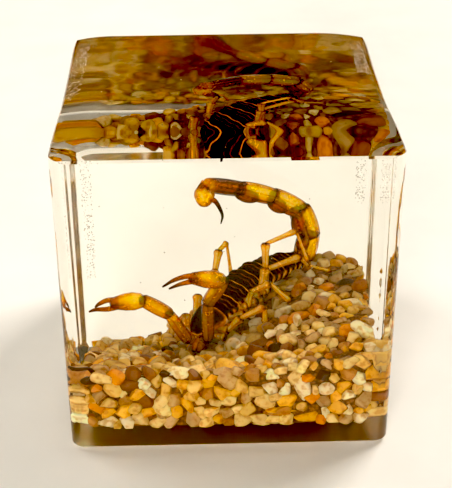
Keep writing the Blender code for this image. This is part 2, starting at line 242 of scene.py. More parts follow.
def add_bubbles(bm):
    """Add the bubbles as balls whose faces look inwards."""
    skins = {}
    for place, radius in bubbles():
        ball = bmesh.ops.create_icosphere(bm, subdivisions=2, radius=radius,
                                          matrix=Matrix.Translation(place))
        skins.update(dict.fromkeys(face for corner in ball["verts"] for face in corner.link_faces))
    bmesh.ops.reverse_faces(bm, faces=list(skins))


print("air bubbles:", sum(row[-1] for row in BUBBLE_ROWS) + STRAY_BUBBLES)

# %% [markdown]
# The mould's own shape comes last: four round upright edges, and a narrow bevel round the bottom that
# follows them. A bevel modifier could make both, but it would trip over the fine grid of the top. So
# each is a few slices, side by side.

# %% The block's shape
BOTTOM_BEVEL = 0.6 * MM        # height of the narrow bevel round the bottom
BEVEL_TILT = math.radians(45)  # how far the bevel leans in from upright
BEVEL_SIDES = 16               # four along the walls, the others round the corners
FRONT_ROUND = 2.1 * MM         # radius of the two upright edges in front
BACK_ROUND = 0.9 * MM          # and of the two at the back
CORNER_CUTS = 5                # flats that make up each of them
TOP_LINES = 60                 # lines of the top's grid in each direction


def round_upright_edges(bm):
    """Slice the flats of the four upright edges."""
    step = 90 / CORNER_CUTS
    for side in (-1, 1):
        for depth, radius in ((-1, FRONT_ROUND), (1, BACK_ROUND)):
            reach = radius * math.cos(math.radians(step / 2))
            for cut in range(CORNER_CUTS):
                turn = math.radians(step * (cut + 0.5))
                slice_off(bm, (side * (HALF - radius + reach * math.cos(turn)),
                               depth * (HALF - radius + reach * math.sin(turn)), 0),
                          (side * math.cos(turn), depth * math.sin(turn), 0))


def bevel_bottom(bm):
    """Slice the bevel round the bottom, its sides and its corners in one turn."""
    for side in range(BEVEL_SIDES):
        turn = 2 * math.pi * side / BEVEL_SIDES
        x, y = math.cos(turn), math.sin(turn)
        radius = FRONT_ROUND if y < 0 else BACK_ROUND
        out = (HALF - radius) * (abs(x) + abs(y)) + radius
        slice_off(bm, (x * out, y * out, BOTTOM_BEVEL),
                  (x * math.cos(BEVEL_TILT), y * math.cos(BEVEL_TILT), -math.sin(BEVEL_TILT)))


def resin_block():
    """The whole block as one mesh."""
    inner = HALF - TOP_CHAMFER
    lines = [-HALF, *np.linspace(-inner, inner, TOP_LINES), HALF]
    bm = relief_solid(lines, lines, top_height, 0.0)
    round_upright_edges(bm)
    bevel_bottom(bm)
    bmesh.ops.recalc_face_normals(bm, faces=bm.faces)
    add_bubbles(bm)
    return finished_mesh(bm)


print("upright edges:", CORNER_CUTS, "flats each, bevel:", BEVEL_SIDES, "slices")

# %% [markdown]
# ## Clear casting resin
#
# Cast polyester resin bends light like window glass, with an IOR close to 1.52. Full transmission
# and no roughness make it see-through. What looks like painted pictures on its top and along its
# edges is the inside, mirrored in the far walls, and that comes by itself once the IOR is right.
# Resin yellows a little, so its volume takes a trace of blue out of the light on the way through.
#
# Hand polishing never leaves a face quite flat. A slow wave in the surface, a few millimetres long,
# makes the mirror pictures smear a little, as they do in the real block. The back wall was polished
# less than the others: it is wavy and a little satin, so what it mirrors is blurred. The bottom is
# matt, as the saw left it, so under the gravel it shows only a brown haze.

# %% Resin finish
WAVE_LENGTH = 3.5 * MM         # from crest to crest of the waves
WAVE_DEPTH = 0.1 * MM
CALM = 0.03                    # share of the waves on the polished faces
SATIN = 0.11                   # roughness of the back wall
SAWN = 0.3                     # and of the bottom face

resin, tree, shader, place = start_finish("clear_casting_resin", {
    "Base Color": linear("#FFFFFF"), "Roughness": 0.0, "IOR": 1.52, "Transmission Weight": 1.0})
axes = add_node(tree, "ShaderNodeSeparateXYZ", {0: place})
back_wall = add_node(tree, "ShaderNodeMapRange", {
    "Value": axes.outputs["Y"], "From Min": 0.98 * HALF, "From Max": 0.995 * HALF,
    "To Min": CALM, "To Max": 1.0})
satin = add_node(tree, "ShaderNodeMapRange", {
    "Value": back_wall.outputs["Result"], "From Min": CALM, "To Max": SATIN})
wave = add_node(tree, "ShaderNodeTexNoise", {"Vector": place, "Scale": 1 / WAVE_LENGTH, "Detail": 1.0})
polish = add_node(tree, "ShaderNodeBump", {
    "Strength": back_wall.outputs["Result"], "Height": wave.outputs["Fac"], "Distance": WAVE_DEPTH})
bottom = add_node(tree, "ShaderNodeMapRange", {
    "Value": axes.outputs["Z"], "From Min": 0.02 * MM, "From Max": 0.0, "To Max": SAWN})
unpolished = add_node(tree, "ShaderNodeMath", {
    0: satin.outputs["Result"], 1: bottom.outputs["Result"]}, operation='MAXIMUM')
feed(tree, shader, {"Normal": polish.outputs["Normal"], "Roughness": unpolished.outputs["Value"]})
depth_tint = add_node(tree, "ShaderNodeVolumeAbsorption", {"Color": linear("#FAF6DE"), "Density": 8.0})
feed(tree, tree.nodes["Material Output"], {"Volume": depth_tint.outputs["Volume"]})

add_piece("resin_block", resin_block(), resin,
          ("resin_lower_half", "resin_upper_half"), crease=25)

# %% [markdown]
# ## The gravel bed
#
# The bed is washed river gravel, sieved to about 2 mm: worn quartz, flint and sandstone. It slopes
# up to the right, and a bank of it lies along the front wall.
#
# A bump map can't make grains that the light shines between, so every grain near a surface is a real
# mesh. First come a few grain shapes. Each is a ball that is pushed in by random flat planes, which
# leaves worn facets with soft edges, as tumbling in a river does.

# %% Grain shapes
GRAIN_SIZE = 2.15              # middle grain, in mm
GRAIN_SHAPES = 14
FINE_GRAIN = 3                 # how often the ball is divided: 320 faces where the camera comes close
COARSE_GRAIN = 2               # and 80 deeper in
FLATS = 13                     # worn into each grain
FLAT_DISTANCE = (0.52, 0.86)   # of a flat from the middle of a ball of radius 1
WEAR = 0.94                    # share of what stands out beyond a flat that is worn away
STRETCH = ((1.15, 1.5), (0.95, 1.15), (0.8, 1.0))      # a grain's length, breadth and thickness


def worn_grain(divisions, seed):
    """A ball of radius about 1 with random flats worn into it: its points and its triangles."""
    pick = random.Random(seed)
    bm = bmesh.new()
    bmesh.ops.create_icosphere(bm, subdivisions=divisions, radius=1.0)
    points = np.array([v.co for v in bm.verts])
    faces = np.array([[v.index for v in face.verts] for face in bm.faces])
    bm.free()
    for _ in range(FLATS):
        flat = Vector([pick.gauss(0, 1) for _ in range(3)]).normalized()
        beyond = points @ np.array(flat) - pick.uniform(*FLAT_DISTANCE)
        points -= np.outer(np.clip(beyond, 0, None) * WEAR, np.array(flat))
    points *= np.array([pick.uniform(low, high) for low, high in STRETCH])
    return points, faces


grain_shapes = {divisions: [worn_grain(divisions, seed) for seed in range(GRAIN_SHAPES)]
                for divisions in (FINE_GRAIN, COARSE_GRAIN)}
print("grain shapes:", GRAIN_SHAPES, "with", len(grain_shapes[FINE_GRAIN][0][1]), "faces each")

# %% [markdown]
# ## The bed's surface
#
# The gravel was poured in against the walls and then tilted, so it climbs to the right, and a bank of
# it lies along the front. The slope and the bank are the same two formulas that shaped the CAD solid.
# Two things are new here: a hollow under the near legs, so that they show, and cut corners, which
# follow the rounded mould.

# %% The height of the bed
GRAVEL_SIDE = 20.8             # the grains reach this far to the left and right, in mm
GRAVEL_WALL = 19.6             # and this far to the front and back
GRAVEL_CORNER = 2.6            # taken off its upright corners, which follow the rounded mould
FLOOR_FRONT, FLOOR_BACK = 2.3, 0.8     # the clear base under the gravel thins towards the back
THIN_LAYER = 1.2               # the bed is at least this thick, about one grain
SLOPE_LOW, SLOPE_HIGH = -1.0, 14.6     # its height at the left and at the right
SLOPE_START, SLOPE_END = -20.0, 16.0   # where it starts and ends, from left to right
SLOPE_TILT = 0.1               # how much it climbs for each millimetre towards the back
BANK_HIGH, BANK_FALL = 12.0, 0.27      # the bank's height at the front wall, and its fall for each mm
HOLLOW_PLACE, HOLLOW_REACH, HOLLOW_DEPTH = (1.5, 4.8), (4.5, 3.2), 1.3     # where the near legs lie


def bed_floor(y):
    """Height of the clear base under the gravel, in mm."""
    return FLOOR_FRONT + (FLOOR_BACK - FLOOR_FRONT) * (y + GRAVEL_WALL) / (2 * GRAVEL_WALL)


def bed_height(x, y):
    """Height of the gravel in mm: a slope that climbs to the right, and a bank along the front."""
    t = np.clip((x - SLOPE_START) / (SLOPE_END - SLOPE_START), 0, 1)
    slope = SLOPE_LOW + (SLOPE_HIGH - SLOPE_LOW) * t * t * (3 - 2 * t) + SLOPE_TILT * y
    bank = BANK_HIGH - BANK_FALL * (y + GRAVEL_WALL)
    surface = np.maximum(slope, bank) + np.log1p(np.exp(-np.abs(slope - bank)))
    away = ((x - HOLLOW_PLACE[0]) / HOLLOW_REACH[0]) ** 2 + ((y - HOLLOW_PLACE[1]) / HOLLOW_REACH[1]) ** 2
    surface = surface - HOLLOW_DEPTH * np.exp(-away)
    return np.maximum(surface, bed_floor(y) + THIN_LAYER)


print("the bed is", round(float(bed_height(SLOPE_END, 0.0)), 1), "mm high at its right side")

# %% [markdown]
# ## The scorpion's pose
#
# The pose comes before the packing, because the grains have to keep clear of the legs. An armature
# could hold it, but a pose that never changes is easier to read as a list. All of it is written in
# millimetres, as chains of joints from the body outwards. Nearly the same numbers shaped the CAD
# solid. After closer looks at the photograph a few joints were moved, by about 1 mm at most, and the
# legs became a little thicker.

# %% Pose
# Of a body part: its middle, half its width and half its height. Of a bulb or sting: its middle, radius.
CARAPACE = [((-4.7, 3.6, 8.9), 1.2, 0.8), ((-4.2, 4.1, 9.5), 1.8, 1.2), ((-3.3, 5.0, 10.2), 2.4, 1.6),
            ((-1.9, 6.4, 11.0), 2.9, 1.9)]
BACK_PLATES = [((-1.6, 6.8, 11.3), 2.8, 1.8), ((-0.1, 8.3, 12.7), 3.0, 2.0), ((1.5, 9.9, 13.8), 3.2, 2.1),
               ((3.2, 11.6, 14.7), 3.3, 2.1), ((5.0, 13.3, 15.3), 3.2, 2.0), ((7.0, 15.0, 15.6), 2.9, 1.9),
               ((9.0, 16.8, 15.7), 2.4, 1.7), ((11.0, 18.2, 15.6), 1.8, 1.4)]
TAIL_JOINTS = [(10.6, 17.9, 15.6), (11.9, 18.7, 16.2), (12.6, 18.8, 19.7), (11.2, 18.9, 23.8),
               (7.3, 18.1, 26.2), (2.7, 16.5, 28.0), (-2.3, 13.2, 29.8)]
TAIL_RADII = [1.3, 1.7, 1.8, 1.55, 1.35, 1.2]
BULB = [((-2.5, 13.1, 30.2), 0.95), ((-2.9, 12.9, 29.6), 0.9), ((-3.0, 12.6, 28.9), 1.3),
        ((-2.8, 12.3, 28.1), 1.45), ((-2.5, 12.1, 27.4), 1.15), ((-2.2, 12.0, 27.0), 0.5)]
STING = [((-2.0, 12.0, 28.0), 0.5), ((-1.3, 11.7, 27.6), 0.36), ((-0.7, 11.4, 26.6), 0.28),
         ((-0.35, 11.2, 25.5), 0.2), ((-0.6, 11.0, 24.3), 0.08)]
FAR_ARM = [(-4.2, 5.0, 8.0), (-5.6, 4.4, 7.4), (-8.3, 3.5, 12.4), (-11.9, 1.8, 15.4), (-16.2, 0.9, 15.3)]
NEAR_ARM = [(-3.4, 4.2, 7.8), (-2.7, 2.6, 8.2), (-2.7, 0.9, 15.1), (-0.4, 0.0, 19.0), (-4.9, -0.9, 19.8)]
ARM_RADII = [0.8, 0.95, 1.1, 1.3]
FINGER_RADII = [0.5, 0.4, 0.3, 0.14]
FAR_FINGERS = [
    [(-15.3, 0.9, 15.8), (-16.9, 0.7, 15.9), (-18.1, 0.5, 15.4), (-18.7, 0.4, 14.9)],
    [(-15.4, 0.9, 14.8), (-16.9, 0.6, 14.5), (-18.6, 0.2, 14.6), (-19.6, 0.1, 14.3)]]
NEAR_FINGERS = [
    [(-4.0, -0.9, 20.2), (-5.7, -1.2, 20.2), (-7.4, -1.7, 19.8), (-9.0, -2.1, 18.9)],
    [(-4.1, -0.9, 19.4), (-5.4, -1.0, 19.2), (-6.7, -1.2, 18.9), (-8.1, -1.6, 18.4)]]
LEG_RADII = [0.72, 0.67, 0.6, 0.44, 0.28]
NEAR_LEGS = [
    [(-1.4, 4.9, 9.3), (0.2, 3.9, 9.3), (2.0, 3.5, 11.4), (5.5, 2.6, 13.6), (5.5, 2.2, 11.2)],
    [(0.6, 7.0, 11.5), (3.1, 6.6, 12.2), (3.4, 8.0, 14.0), (6.4, 7.5, 15.7), (9.3, 6.6, 12.9)],
    [(2.4, 9.0, 12.4), (5.0, 8.4, 13.6), (5.8, 9.6, 17.4), (5.8, 10.3, 21.2), (10.3, 12.7, 22.4),
     (12.2, 12.9, 17.2)],
    [(3.2, 10.0, 13.0), (5.9, 9.4, 13.4), (5.7, 10.6, 16.8), (11.0, 13.6, 17.8), (12.3, 13.8, 16.4),
     (15.6, 14.0, 15.2)]]
FAR_LEGS = [
    [(-4.0, 5.6, 8.7), (-5.8, 7.0, 8.2), (-6.0, 8.6, 10.2), (-7.4, 9.8, 8.2)],
    [(-2.8, 7.6, 9.8), (-4.4, 9.6, 10.0), (-4.1, 11.4, 12.4), (-4.0, 13.0, 9.2)],
    [(-0.8, 9.6, 11.4), (-2.0, 12.0, 12.6), (-1.5, 15.0, 15.2), (-0.9, 16.2, 18.2), (0.3, 17.0, 19.2),
     (1.0, 18.2, 13.0)],
    [(1.2, 11.6, 13.0), (0.8, 14.2, 12.9), (2.0, 16.4, 13.9), (3.8, 18.0, 12.6)]]
JAWS = [[(-4.0, 4.0, 7.5), (-4.6, 3.0, 6.9), (-4.9, 2.3, 6.4)],
        [(-3.5, 3.7, 7.5), (-3.9, 2.6, 6.9), (-4.2, 1.9, 6.4)]]
JAW_RADII = [0.7, 0.6, 0.3]
print("legs:", len(NEAR_LEGS + FAR_LEGS), "joints along the tail:", len(TAIL_JOINTS))

# %% [markdown]
# To keep the grains off the animal, each of its limbs becomes a short string of balls. Whether a grain
# is in the way is then only a matter of two distances.

# %% Room for the limbs
BALLS_PER_STRETCH = 6          # between one joint and the next


def limb_balls():
    """The scorpion as a string of balls, (centre, radius) in mm, for keeping the grains off it."""
    middles, _, half_heights = zip(*CARAPACE, *BACK_PLATES)
    chains = [(middles, half_heights[1:]), (FAR_ARM, ARM_RADII), (NEAR_ARM, ARM_RADII)]
    chains += [(leg, LEG_RADII) for leg in NEAR_LEGS + FAR_LEGS]
    chains += [(jaw, JAW_RADII) for jaw in JAWS]
    balls = []
    for joints, radii in chains:
        for start, end, radius in zip(joints, joints[1:], radii):
            for share in np.linspace(0, 1, BALLS_PER_STRETCH):
                balls.append((Vector(start).lerp(Vector(end), float(share)), radius))
    return balls


limbs = limb_balls()
print("balls along the scorpion:", len(limbs))

# %% [markdown]
# ## Packing the grains
#
# Grains could be dropped with a physics simulation, but packing them is quicker and always gives the
# same bed. They start on the crossings of a close-packed lattice, as oranges lie in a crate, and each
# is shaken a little off its place.

# %% A shaken lattice
LATTICE = 2.05                 # spacing of the lattice, in mm
ROW_STEP, ROW_SHIFT, LAYER_STEP = 0.866, 0.289, 0.816  # of a close packing, against its spacing
LAYERS = 14
EDGE_GAP, FLOOR_GAP = 0.3, 0.4         # from walls and floor to the first points, against the spacing
ROOF_GAP = 0.2                 # from the surface of the bed to the last points, in mm
SHAKE = 0.4                    # how far a point is moved at most in each direction, in mm


def lattice_points():
    """Close-packed layers of points that fill the bed, each shaken a little."""
    points = []
    rows = int(2 * GRAVEL_WALL / (LATTICE * ROW_STEP)) + 1
    columns = int(2 * GRAVEL_SIDE / LATTICE) + 1
    for layer, row, column in itertools.product(range(LAYERS), range(rows), range(columns)):
        x = -GRAVEL_SIDE + LATTICE * (column + 0.5 * ((row + layer) % 2) + EDGE_GAP)
        y = -GRAVEL_WALL + LATTICE * (ROW_STEP * row + ROW_SHIFT * (layer % 2) + EDGE_GAP)
        z = bed_floor(y) + LATTICE * (LAYER_STEP * layer + FLOOR_GAP)
        if abs(x) < GRAVEL_SIDE and abs(y) < GRAVEL_WALL and z < bed_height(x, y) - ROOF_GAP:
            points.append([value + dice.uniform(-SHAKE, SHAKE) for value in (x, y, z)])
    return points


grain_centres = lattice_points()
print("grains on the lattice:", len(grain_centres))

# %% [markdown]
# Then every two grains that overlap push each other apart a few times, while the walls and the slope
# hold them in. Sieved gravel still varies in size, so each grain gets a radius of its own. In the end
# those in the way of a limb are taken out, and those deep inside, which nobody can see.

# %% Pushing the grains apart
PACKING_ROUNDS = 12
SIZE_SPREAD, SIZE_LIMITS = 0.24, (0.6, 1.7)            # of the grains' radii, against the middle one
CONTACT, PUSH = 0.93, 0.35     # grains may overlap by 7%, and each push takes up a third of an overlap
WIDEST_REACH = 1.0             # how far beyond its own radius a grain looks for its neighbours, in mm
SINK = [0.9, 0.35, 0.75, 0.5, 1.1]     # how deep a grain on top lies in the bed, against its radius
FLOOR_LIFT = 0.8               # how high the middle of the lowest grains lies, against their radius
DIAGONAL = 1.41                # of a square with sides of 1
SHELL_DEPTH = 3.8              # deeper grains can't be seen, so they are left out
LIMB_ROOM = 0.7                # share of a grain's radius that stays clear of the limbs


def hold_in(centre, radius):
    """Keep a grain between the walls, above the floor and under the surface of the bed."""
    for axis, wall in ((0, GRAVEL_SIDE), (1, GRAVEL_WALL)):
        centre[axis] = min(wall - radius, max(radius - wall, centre[axis]))
    over = abs(centre[0]) + abs(centre[1]) + DIAGONAL * radius - (GRAVEL_SIDE + GRAVEL_WALL - GRAVEL_CORNER)
    if over > 0:
        centre[0] -= math.copysign(over / 2, centre[0])
        centre[1] -= math.copysign(over / 2, centre[1])
    roof = float(bed_height(centre[0], centre[1])) - radius * SINK[int(1000 * radius) % len(SINK)]
    centre[2] = max(bed_floor(centre[1]) + radius * FLOOR_LIFT, min(roof, centre[2]))


def push_apart(centres, radii):
    """Move each grain off its neighbours once."""
    tree = kdtree.KDTree(len(centres))
    for i, centre in enumerate(centres):
        tree.insert(centre, i)
    tree.balance()
    for i, centre in enumerate(centres):
        for place, j, distance in tree.find_range(centre, radii[i] + WIDEST_REACH):
            overlap = (radii[i] + radii[j]) * CONTACT - distance
            if j != i and overlap > 0 and distance > 1e-6:
                away = (Vector(centre) - place) * (PUSH * overlap / distance)
                centre[0] += away.x
                centre[1] += away.y
                centre[2] += away.z
        hold_in(centre, radii[i])


def seen_from_outside(centre):
    """Whether a grain lies near enough to a face of the bed to be seen."""
    roof = float(bed_height(centre[0], centre[1]))
    depth = min(GRAVEL_SIDE - abs(centre[0]), GRAVEL_WALL - abs(centre[1]),
                centre[2] - bed_floor(centre[1]), roof - centre[2])
    return depth < SHELL_DEPTH


smallest, largest = SIZE_LIMITS
grain_radii = [GRAIN_SIZE / 2 * min(largest, max(smallest, math.exp(dice.gauss(0, SIZE_SPREAD))))
               for _ in grain_centres]
for _ in range(PACKING_ROUNDS):
    push_apart(grain_centres, grain_radii)
kept_grains = [
    (centre, radius) for centre, radius in zip(grain_centres, grain_radii)
    if seen_from_outside(centre)
    and all((ball - Vector(centre)).length > size + radius * LIMB_ROOM for ball, size in limbs)]
print("grains packed:", len(grain_centres), "kept:", len(kept_grains))

# %% [markdown]
# ## Stone colours
#
# River gravel is a mix: milky and clear quartz, cream and ochre flint, amber-stained quartz, tan and
# brown sandstone, and now and then a dark pebble. Each grain keeps its stone's colour as a colour
# attribute on its points, so one material serves them all. The attribute's alpha says how clear the
# stone is. Close to the scorpion the stones are darkened, a painted shadow of the animal.

# %% Colouring the grains
STONES = [                     # share of the mix, colour, how clear
    (24, "#F7D68C", 0.5),      # milky quartz, stained cream
    (14, "#FFEDBE", 0.7),      # white quartz
    (18, "#F3B840", 0.6),      # amber-stained quartz
    (7, "#E08E1C", 0.4),       # ochre flint
    (18, "#E8BE68", 0.4),      # honey flint
    (11, "#BF8640", 0.2),      # tan sandstone
    (6, "#8E5418", 0.1),       # brown sandstone
    (12, "#C6A06A", 0.3),      # dusty beige
    (2, "#4C2A0E", 0.1),       # dark pebble
]
SCORPION_SHADOW_DARKEST, SCORPION_SHADOW_REACH = 0.4, 7.0     # how dark the painted shadow of the scorpion gets, and how far out it reaches (mm)
LIGHTEST, DARKEST = 1.12, 0.82         # no two stones of a kind are equally light


def grain_colour(centre):
    """The colour of a random stone, darkened close to the scorpion as a painted shadow of it."""
    share, hex_colour, clear = dice.choices(STONES, [stone[0] for stone in STONES])[0]
    gap = min((ball - Vector(centre)).length - size for ball, size in limbs)
    # painted shadow: the nearer a grain is to the scorpion, the darker its colour
    painted_shadow = min(1.0, SCORPION_SHADOW_DARKEST + (1 - SCORPION_SHADOW_DARKEST) * gap / SCORPION_SHADOW_REACH)
    light = dice.uniform(DARKEST, LIGHTEST) * painted_shadow
    return [min(1.0, channel * light) for channel in linear(hex_colour)[:3]] + [clear]


print("kinds of stone:", len(STONES))

# %% [markdown]
# Each grain is a copy of one of the worn shapes, turned and sized. An instance of each shape would
# take less memory, but plain joined meshes are what every other program can read. The bed is built in
# five strips, so that no mesh gets too large.

# %% Building the grains
GRAVEL_STRIPS = 5
WALL_SWELL, TOP_SWELL = 1.12, 1.0      # against the walls the grains are pressed together
FULL_TURN = 6.283              # in radians
ON_TOP = 1.6                   # a grain less than this many radii below the surface lies on top
NEAR_DEPTH = 2.8               # grains nearer than this (mm) to the front wall or the top are finely divided


def random_turn():
    """A turn by any angle about any axis."""
    angle = dice.uniform(0, FULL_TURN)
    axis = Vector([dice.gauss(0, 1) for _ in range(3)])
    return np.array(Matrix.Rotation(angle, 3, axis))


def mesh_from(points, faces, name):
    """A mesh from points in mm."""
    mesh = bpy.data.meshes.new(name)
    mesh.from_pydata(points * MM, [], faces)
    mesh.update()
    return mesh


def gravel_strip(grains):
    """One mesh of many grains, each with its own shape, size, turn and colour."""
    points, faces, colours = [], [], []
    start = 0
    for centre, radius in grains:
        below_top = float(bed_height(centre[0], centre[1])) - centre[2]
        near = centre[1] + GRAVEL_WALL < NEAR_DEPTH or below_top < NEAR_DEPTH
        swell = TOP_SWELL if below_top < radius * ON_TOP else WALL_SWELL
        shape_points, shape_faces = dice.choice(grain_shapes[FINE_GRAIN if near else COARSE_GRAIN])
        placed = shape_points @ random_turn().T * radius * swell + np.array(centre)
        placed[:, 0] = np.clip(placed[:, 0], -GRAVEL_SIDE, GRAVEL_SIDE)
        placed[:, 1] = np.clip(placed[:, 1], -GRAVEL_WALL, GRAVEL_WALL)
        placed[:, 2] = np.maximum(placed[:, 2], bed_floor(placed[:, 1]))
        points.append(placed)
        faces.append(shape_faces + start)
        colours.append(np.tile(grain_colour(centre), (len(placed), 1)))
        start += len(placed)
    mesh = mesh_from(np.concatenate(points), np.concatenate(faces), "grains")
    stone = mesh.attributes.new("stone", 'FLOAT_COLOR', 'POINT')
    stone.data.foreach_set("color", np.concatenate(colours).astype(np.float32).ravel())
    return mesh


print("strips of gravel:", GRAVEL_STRIPS)

# %% [markdown]
# ## Washed river gravel
#
# A worn quartz grain is clear enough for light to sink in a little, so it glows at its thin edges. It
# has cloudy patches and fine stains of iron, about a third of a grain across, and its skin is frosted
# by the river: fine pits, no mirror shine. Quartz has an IOR of 1.54. In the resin that hardly differs
# from what is around it, so the shine is kept low. A thin brown rind of iron stays on most grains. A
# Layer Weight node darkens each grain where it is seen edge-on. That is partly the rind and partly
# painted shade for the gaps where the grains meet.

# %% Gravel finish
STAIN_SIZE = 0.8 * MM
PIT_SIZE = 0.12 * MM           # drawn coarser than the real frosting, which is too fine to show
MIX_SHARE, MIX_A, MIX_B, MIX_RESULT = 0, 6, 7, 2       # the sockets of a Mix node for colours

gravel, tree, shader, place = start_finish("washed_river_gravel", {
    "Roughness": 0.5, "IOR": 1.54, "Specular IOR Level": 0.35,
    "Subsurface Radius": (1.0, 0.6, 0.25), "Subsurface Scale": 0.7 * MM})
stone = add_node(tree, "ShaderNodeAttribute", attribute_name="stone")
stains = add_node(tree, "ShaderNodeTexNoise", {
    "Vector": place, "Scale": 1 / STAIN_SIZE, "Detail": 2.0, "Roughness": 0.45})
stain_ramp = add_node(tree, "ShaderNodeValToRGB", {"Fac": stains.outputs["Fac"]},
                      stops=[(0.34, "#DDB47C"), (0.5, "#FFF5E4"), (0.7, "#FFFFFF")])
# darker where a grain is seen edge-on: partly the iron rind, partly painted shade for the gaps between grains
rind_and_gap_shade = add_node(tree, "ShaderNodeLayerWeight", {"Blend": 0.3})
rind_and_gap_shade_ramp = add_node(tree, "ShaderNodeValToRGB", {"Fac": rind_and_gap_shade.outputs["Facing"]},
                     stops=[(0.3, "#FFFFFF"), (0.8, "#A87034")])
stained = add_node(tree, "ShaderNodeMix", {
    MIX_SHARE: 0.85, MIX_A: stone.outputs["Color"], MIX_B: stain_ramp.outputs["Color"]},
    data_type='RGBA', blend_type='MULTIPLY')
rinded_and_shaded = add_node(tree, "ShaderNodeMix", {
    MIX_SHARE: 0.8, MIX_A: stained.outputs[MIX_RESULT], MIX_B: rind_and_gap_shade_ramp.outputs["Color"]},
    data_type='RGBA', blend_type='MULTIPLY')
pits = add_node(tree, "ShaderNodeTexNoise", {"Vector": place, "Scale": 1 / PIT_SIZE, "Detail": 2.0})
frosting = add_node(tree, "ShaderNodeBump", {
    "Height": pits.outputs["Fac"], "Strength": 0.35, "Distance": 0.03 * MM})
worn = add_node(tree, "ShaderNodeMapRange", {
    "Value": stains.outputs["Fac"], "To Min": 0.35, "To Max": 0.65})
clearness = add_node(tree, "ShaderNodeMapRange", {"Value": stone.outputs["Alpha"], "To Max": 0.6})
feed(tree, shader, {
    "Subsurface Weight": clearness.outputs["Result"], "Base Color": rinded_and_shaded.outputs[MIX_RESULT],
    "Normal": frosting.outputs["Normal"], "Roughness": worn.outputs["Result"]})

strip_width = 2 * GRAVEL_SIDE / GRAVEL_STRIPS
for strip in range(GRAVEL_STRIPS):
    inside = [grain for grain in kept_grains
              if strip == min(GRAVEL_STRIPS - 1, int((grain[0][0] + GRAVEL_SIDE) / strip_width))]
    add_piece(f"gravel_strip_{strip + 1}", gravel_strip(inside), gravel, ("gravel_bed",))

# %% [markdown]
# ## Fines under the gravel
#
# A plain core of the bed's own shape, a little smaller all round, stands in for the deeper grains and
# stops the eye from seeing through the gaps. It is drawn as finer sand. Its dark brown is painted shade
# for the gaps deep in the bed.

# %% The core of fines
CORE_INSET = 0.9               # mm below the faces of the bed
CORE_LIFT, CORE_LEAST = 0.25, 0.3      # its floor above the bed's, and its least thickness (mm)
CORE_UNEVEN = 0.15             # how far its top wanders up and down (mm)
CORE_LINES = 40                # lines of its grid in each direction
SAND_GRAIN, SAND_RELIEF = 0.5 * MM, 0.15 * MM


def core_height(x, y):
    """Height of the core, in metres, under the gravel's surface."""
    surface = float(bed_height(x / MM, y / MM)) - CORE_INSET + dice.uniform(-CORE_UNEVEN, CORE_UNEVEN)
    return max(surface, bed_floor(y / MM) + CORE_LIFT + CORE_LEAST) * MM


fines_and_gap_shade, tree, shader, place = start_finish("dark_sand_painted_shade", {"Roughness": 0.9, "IOR": 1.54})
sand = add_node(tree, "ShaderNodeTexVoronoi", {"Vector": place, "Scale": 1 / SAND_GRAIN})
# the dark brown of the core is painted shade for the gaps deep in the bed
sand_and_gap_shade_tone = add_node(tree, "ShaderNodeValToRGB", {"Fac": sand.outputs["Distance"]},
                     stops=[(0.1, "#A0662A"), (0.8, "#4E2A10")])
sand_relief = add_node(tree, "ShaderNodeBump", {"Height": sand.outputs["Distance"], "Distance": SAND_RELIEF})
feed(tree, shader, {"Base Color": sand_and_gap_shade_tone.outputs["Color"], "Normal": sand_relief.outputs["Normal"]})

core_lines = [np.linspace(-1, 1, CORE_LINES) * (wall - CORE_INSET) * MM
              for wall in (GRAVEL_SIDE, GRAVEL_WALL)]
core = relief_solid(*core_lines, core_height, -BLOCK_EDGE)
floor_tilt = (FLOOR_FRONT - FLOOR_BACK) / (2 * GRAVEL_WALL)
slice_off(core, (0, 0, (bed_floor(0) + CORE_LIFT) * MM), (0, -floor_tilt, -1))
corner = (GRAVEL_SIDE + GRAVEL_WALL - GRAVEL_CORNER) / 2 - CORE_INSET / DIAGONAL
for x, y in ((-1, -1), (1, -1), (1, 1), (-1, 1)):
    slice_off(core, (x * corner * MM, y * corner * MM, 0), (x, y, 0))
add_piece("gravel_core", closed_mesh(core), fines_and_gap_shade, ("gravel_bed",))

# %% [markdown]
# ## Drawing limbs
#
# A scorpion is a chain of hard tubes, so one tool makes nearly all of it. It draws oval rings along a
# smooth path and joins them with quads. Two small functions shape it. One says how far the skin
# stands out at each place along the tube and around it, for keels and swellings. The other says how
# dark the skin is there, and is kept as an attribute for the material.

# %% The limb tool
def smooth_keys(keys, count):
    """Rows of numbers along a smooth curve that passes through all the given rows."""
    keys = np.array(keys, float)
    padded = np.vstack([2 * keys[0] - keys[1], keys, 2 * keys[-1] - keys[-2]])
    rows = []
    for position in np.linspace(0, len(keys) - 1, count):
        i = min(int(position), len(keys) - 2)
        t = position - i
        a, b, c, d = padded[i:i + 4]
        rows.append(0.5 * (2 * b + (c - a) * t + (2 * a - 5 * b + 4 * c - d) * t ** 2
                           + (3 * b - a - 3 * c + d) * t ** 3))
    return np.array(rows)


def level(t, a):
    """No relief, or one even shade."""
    return 1.0


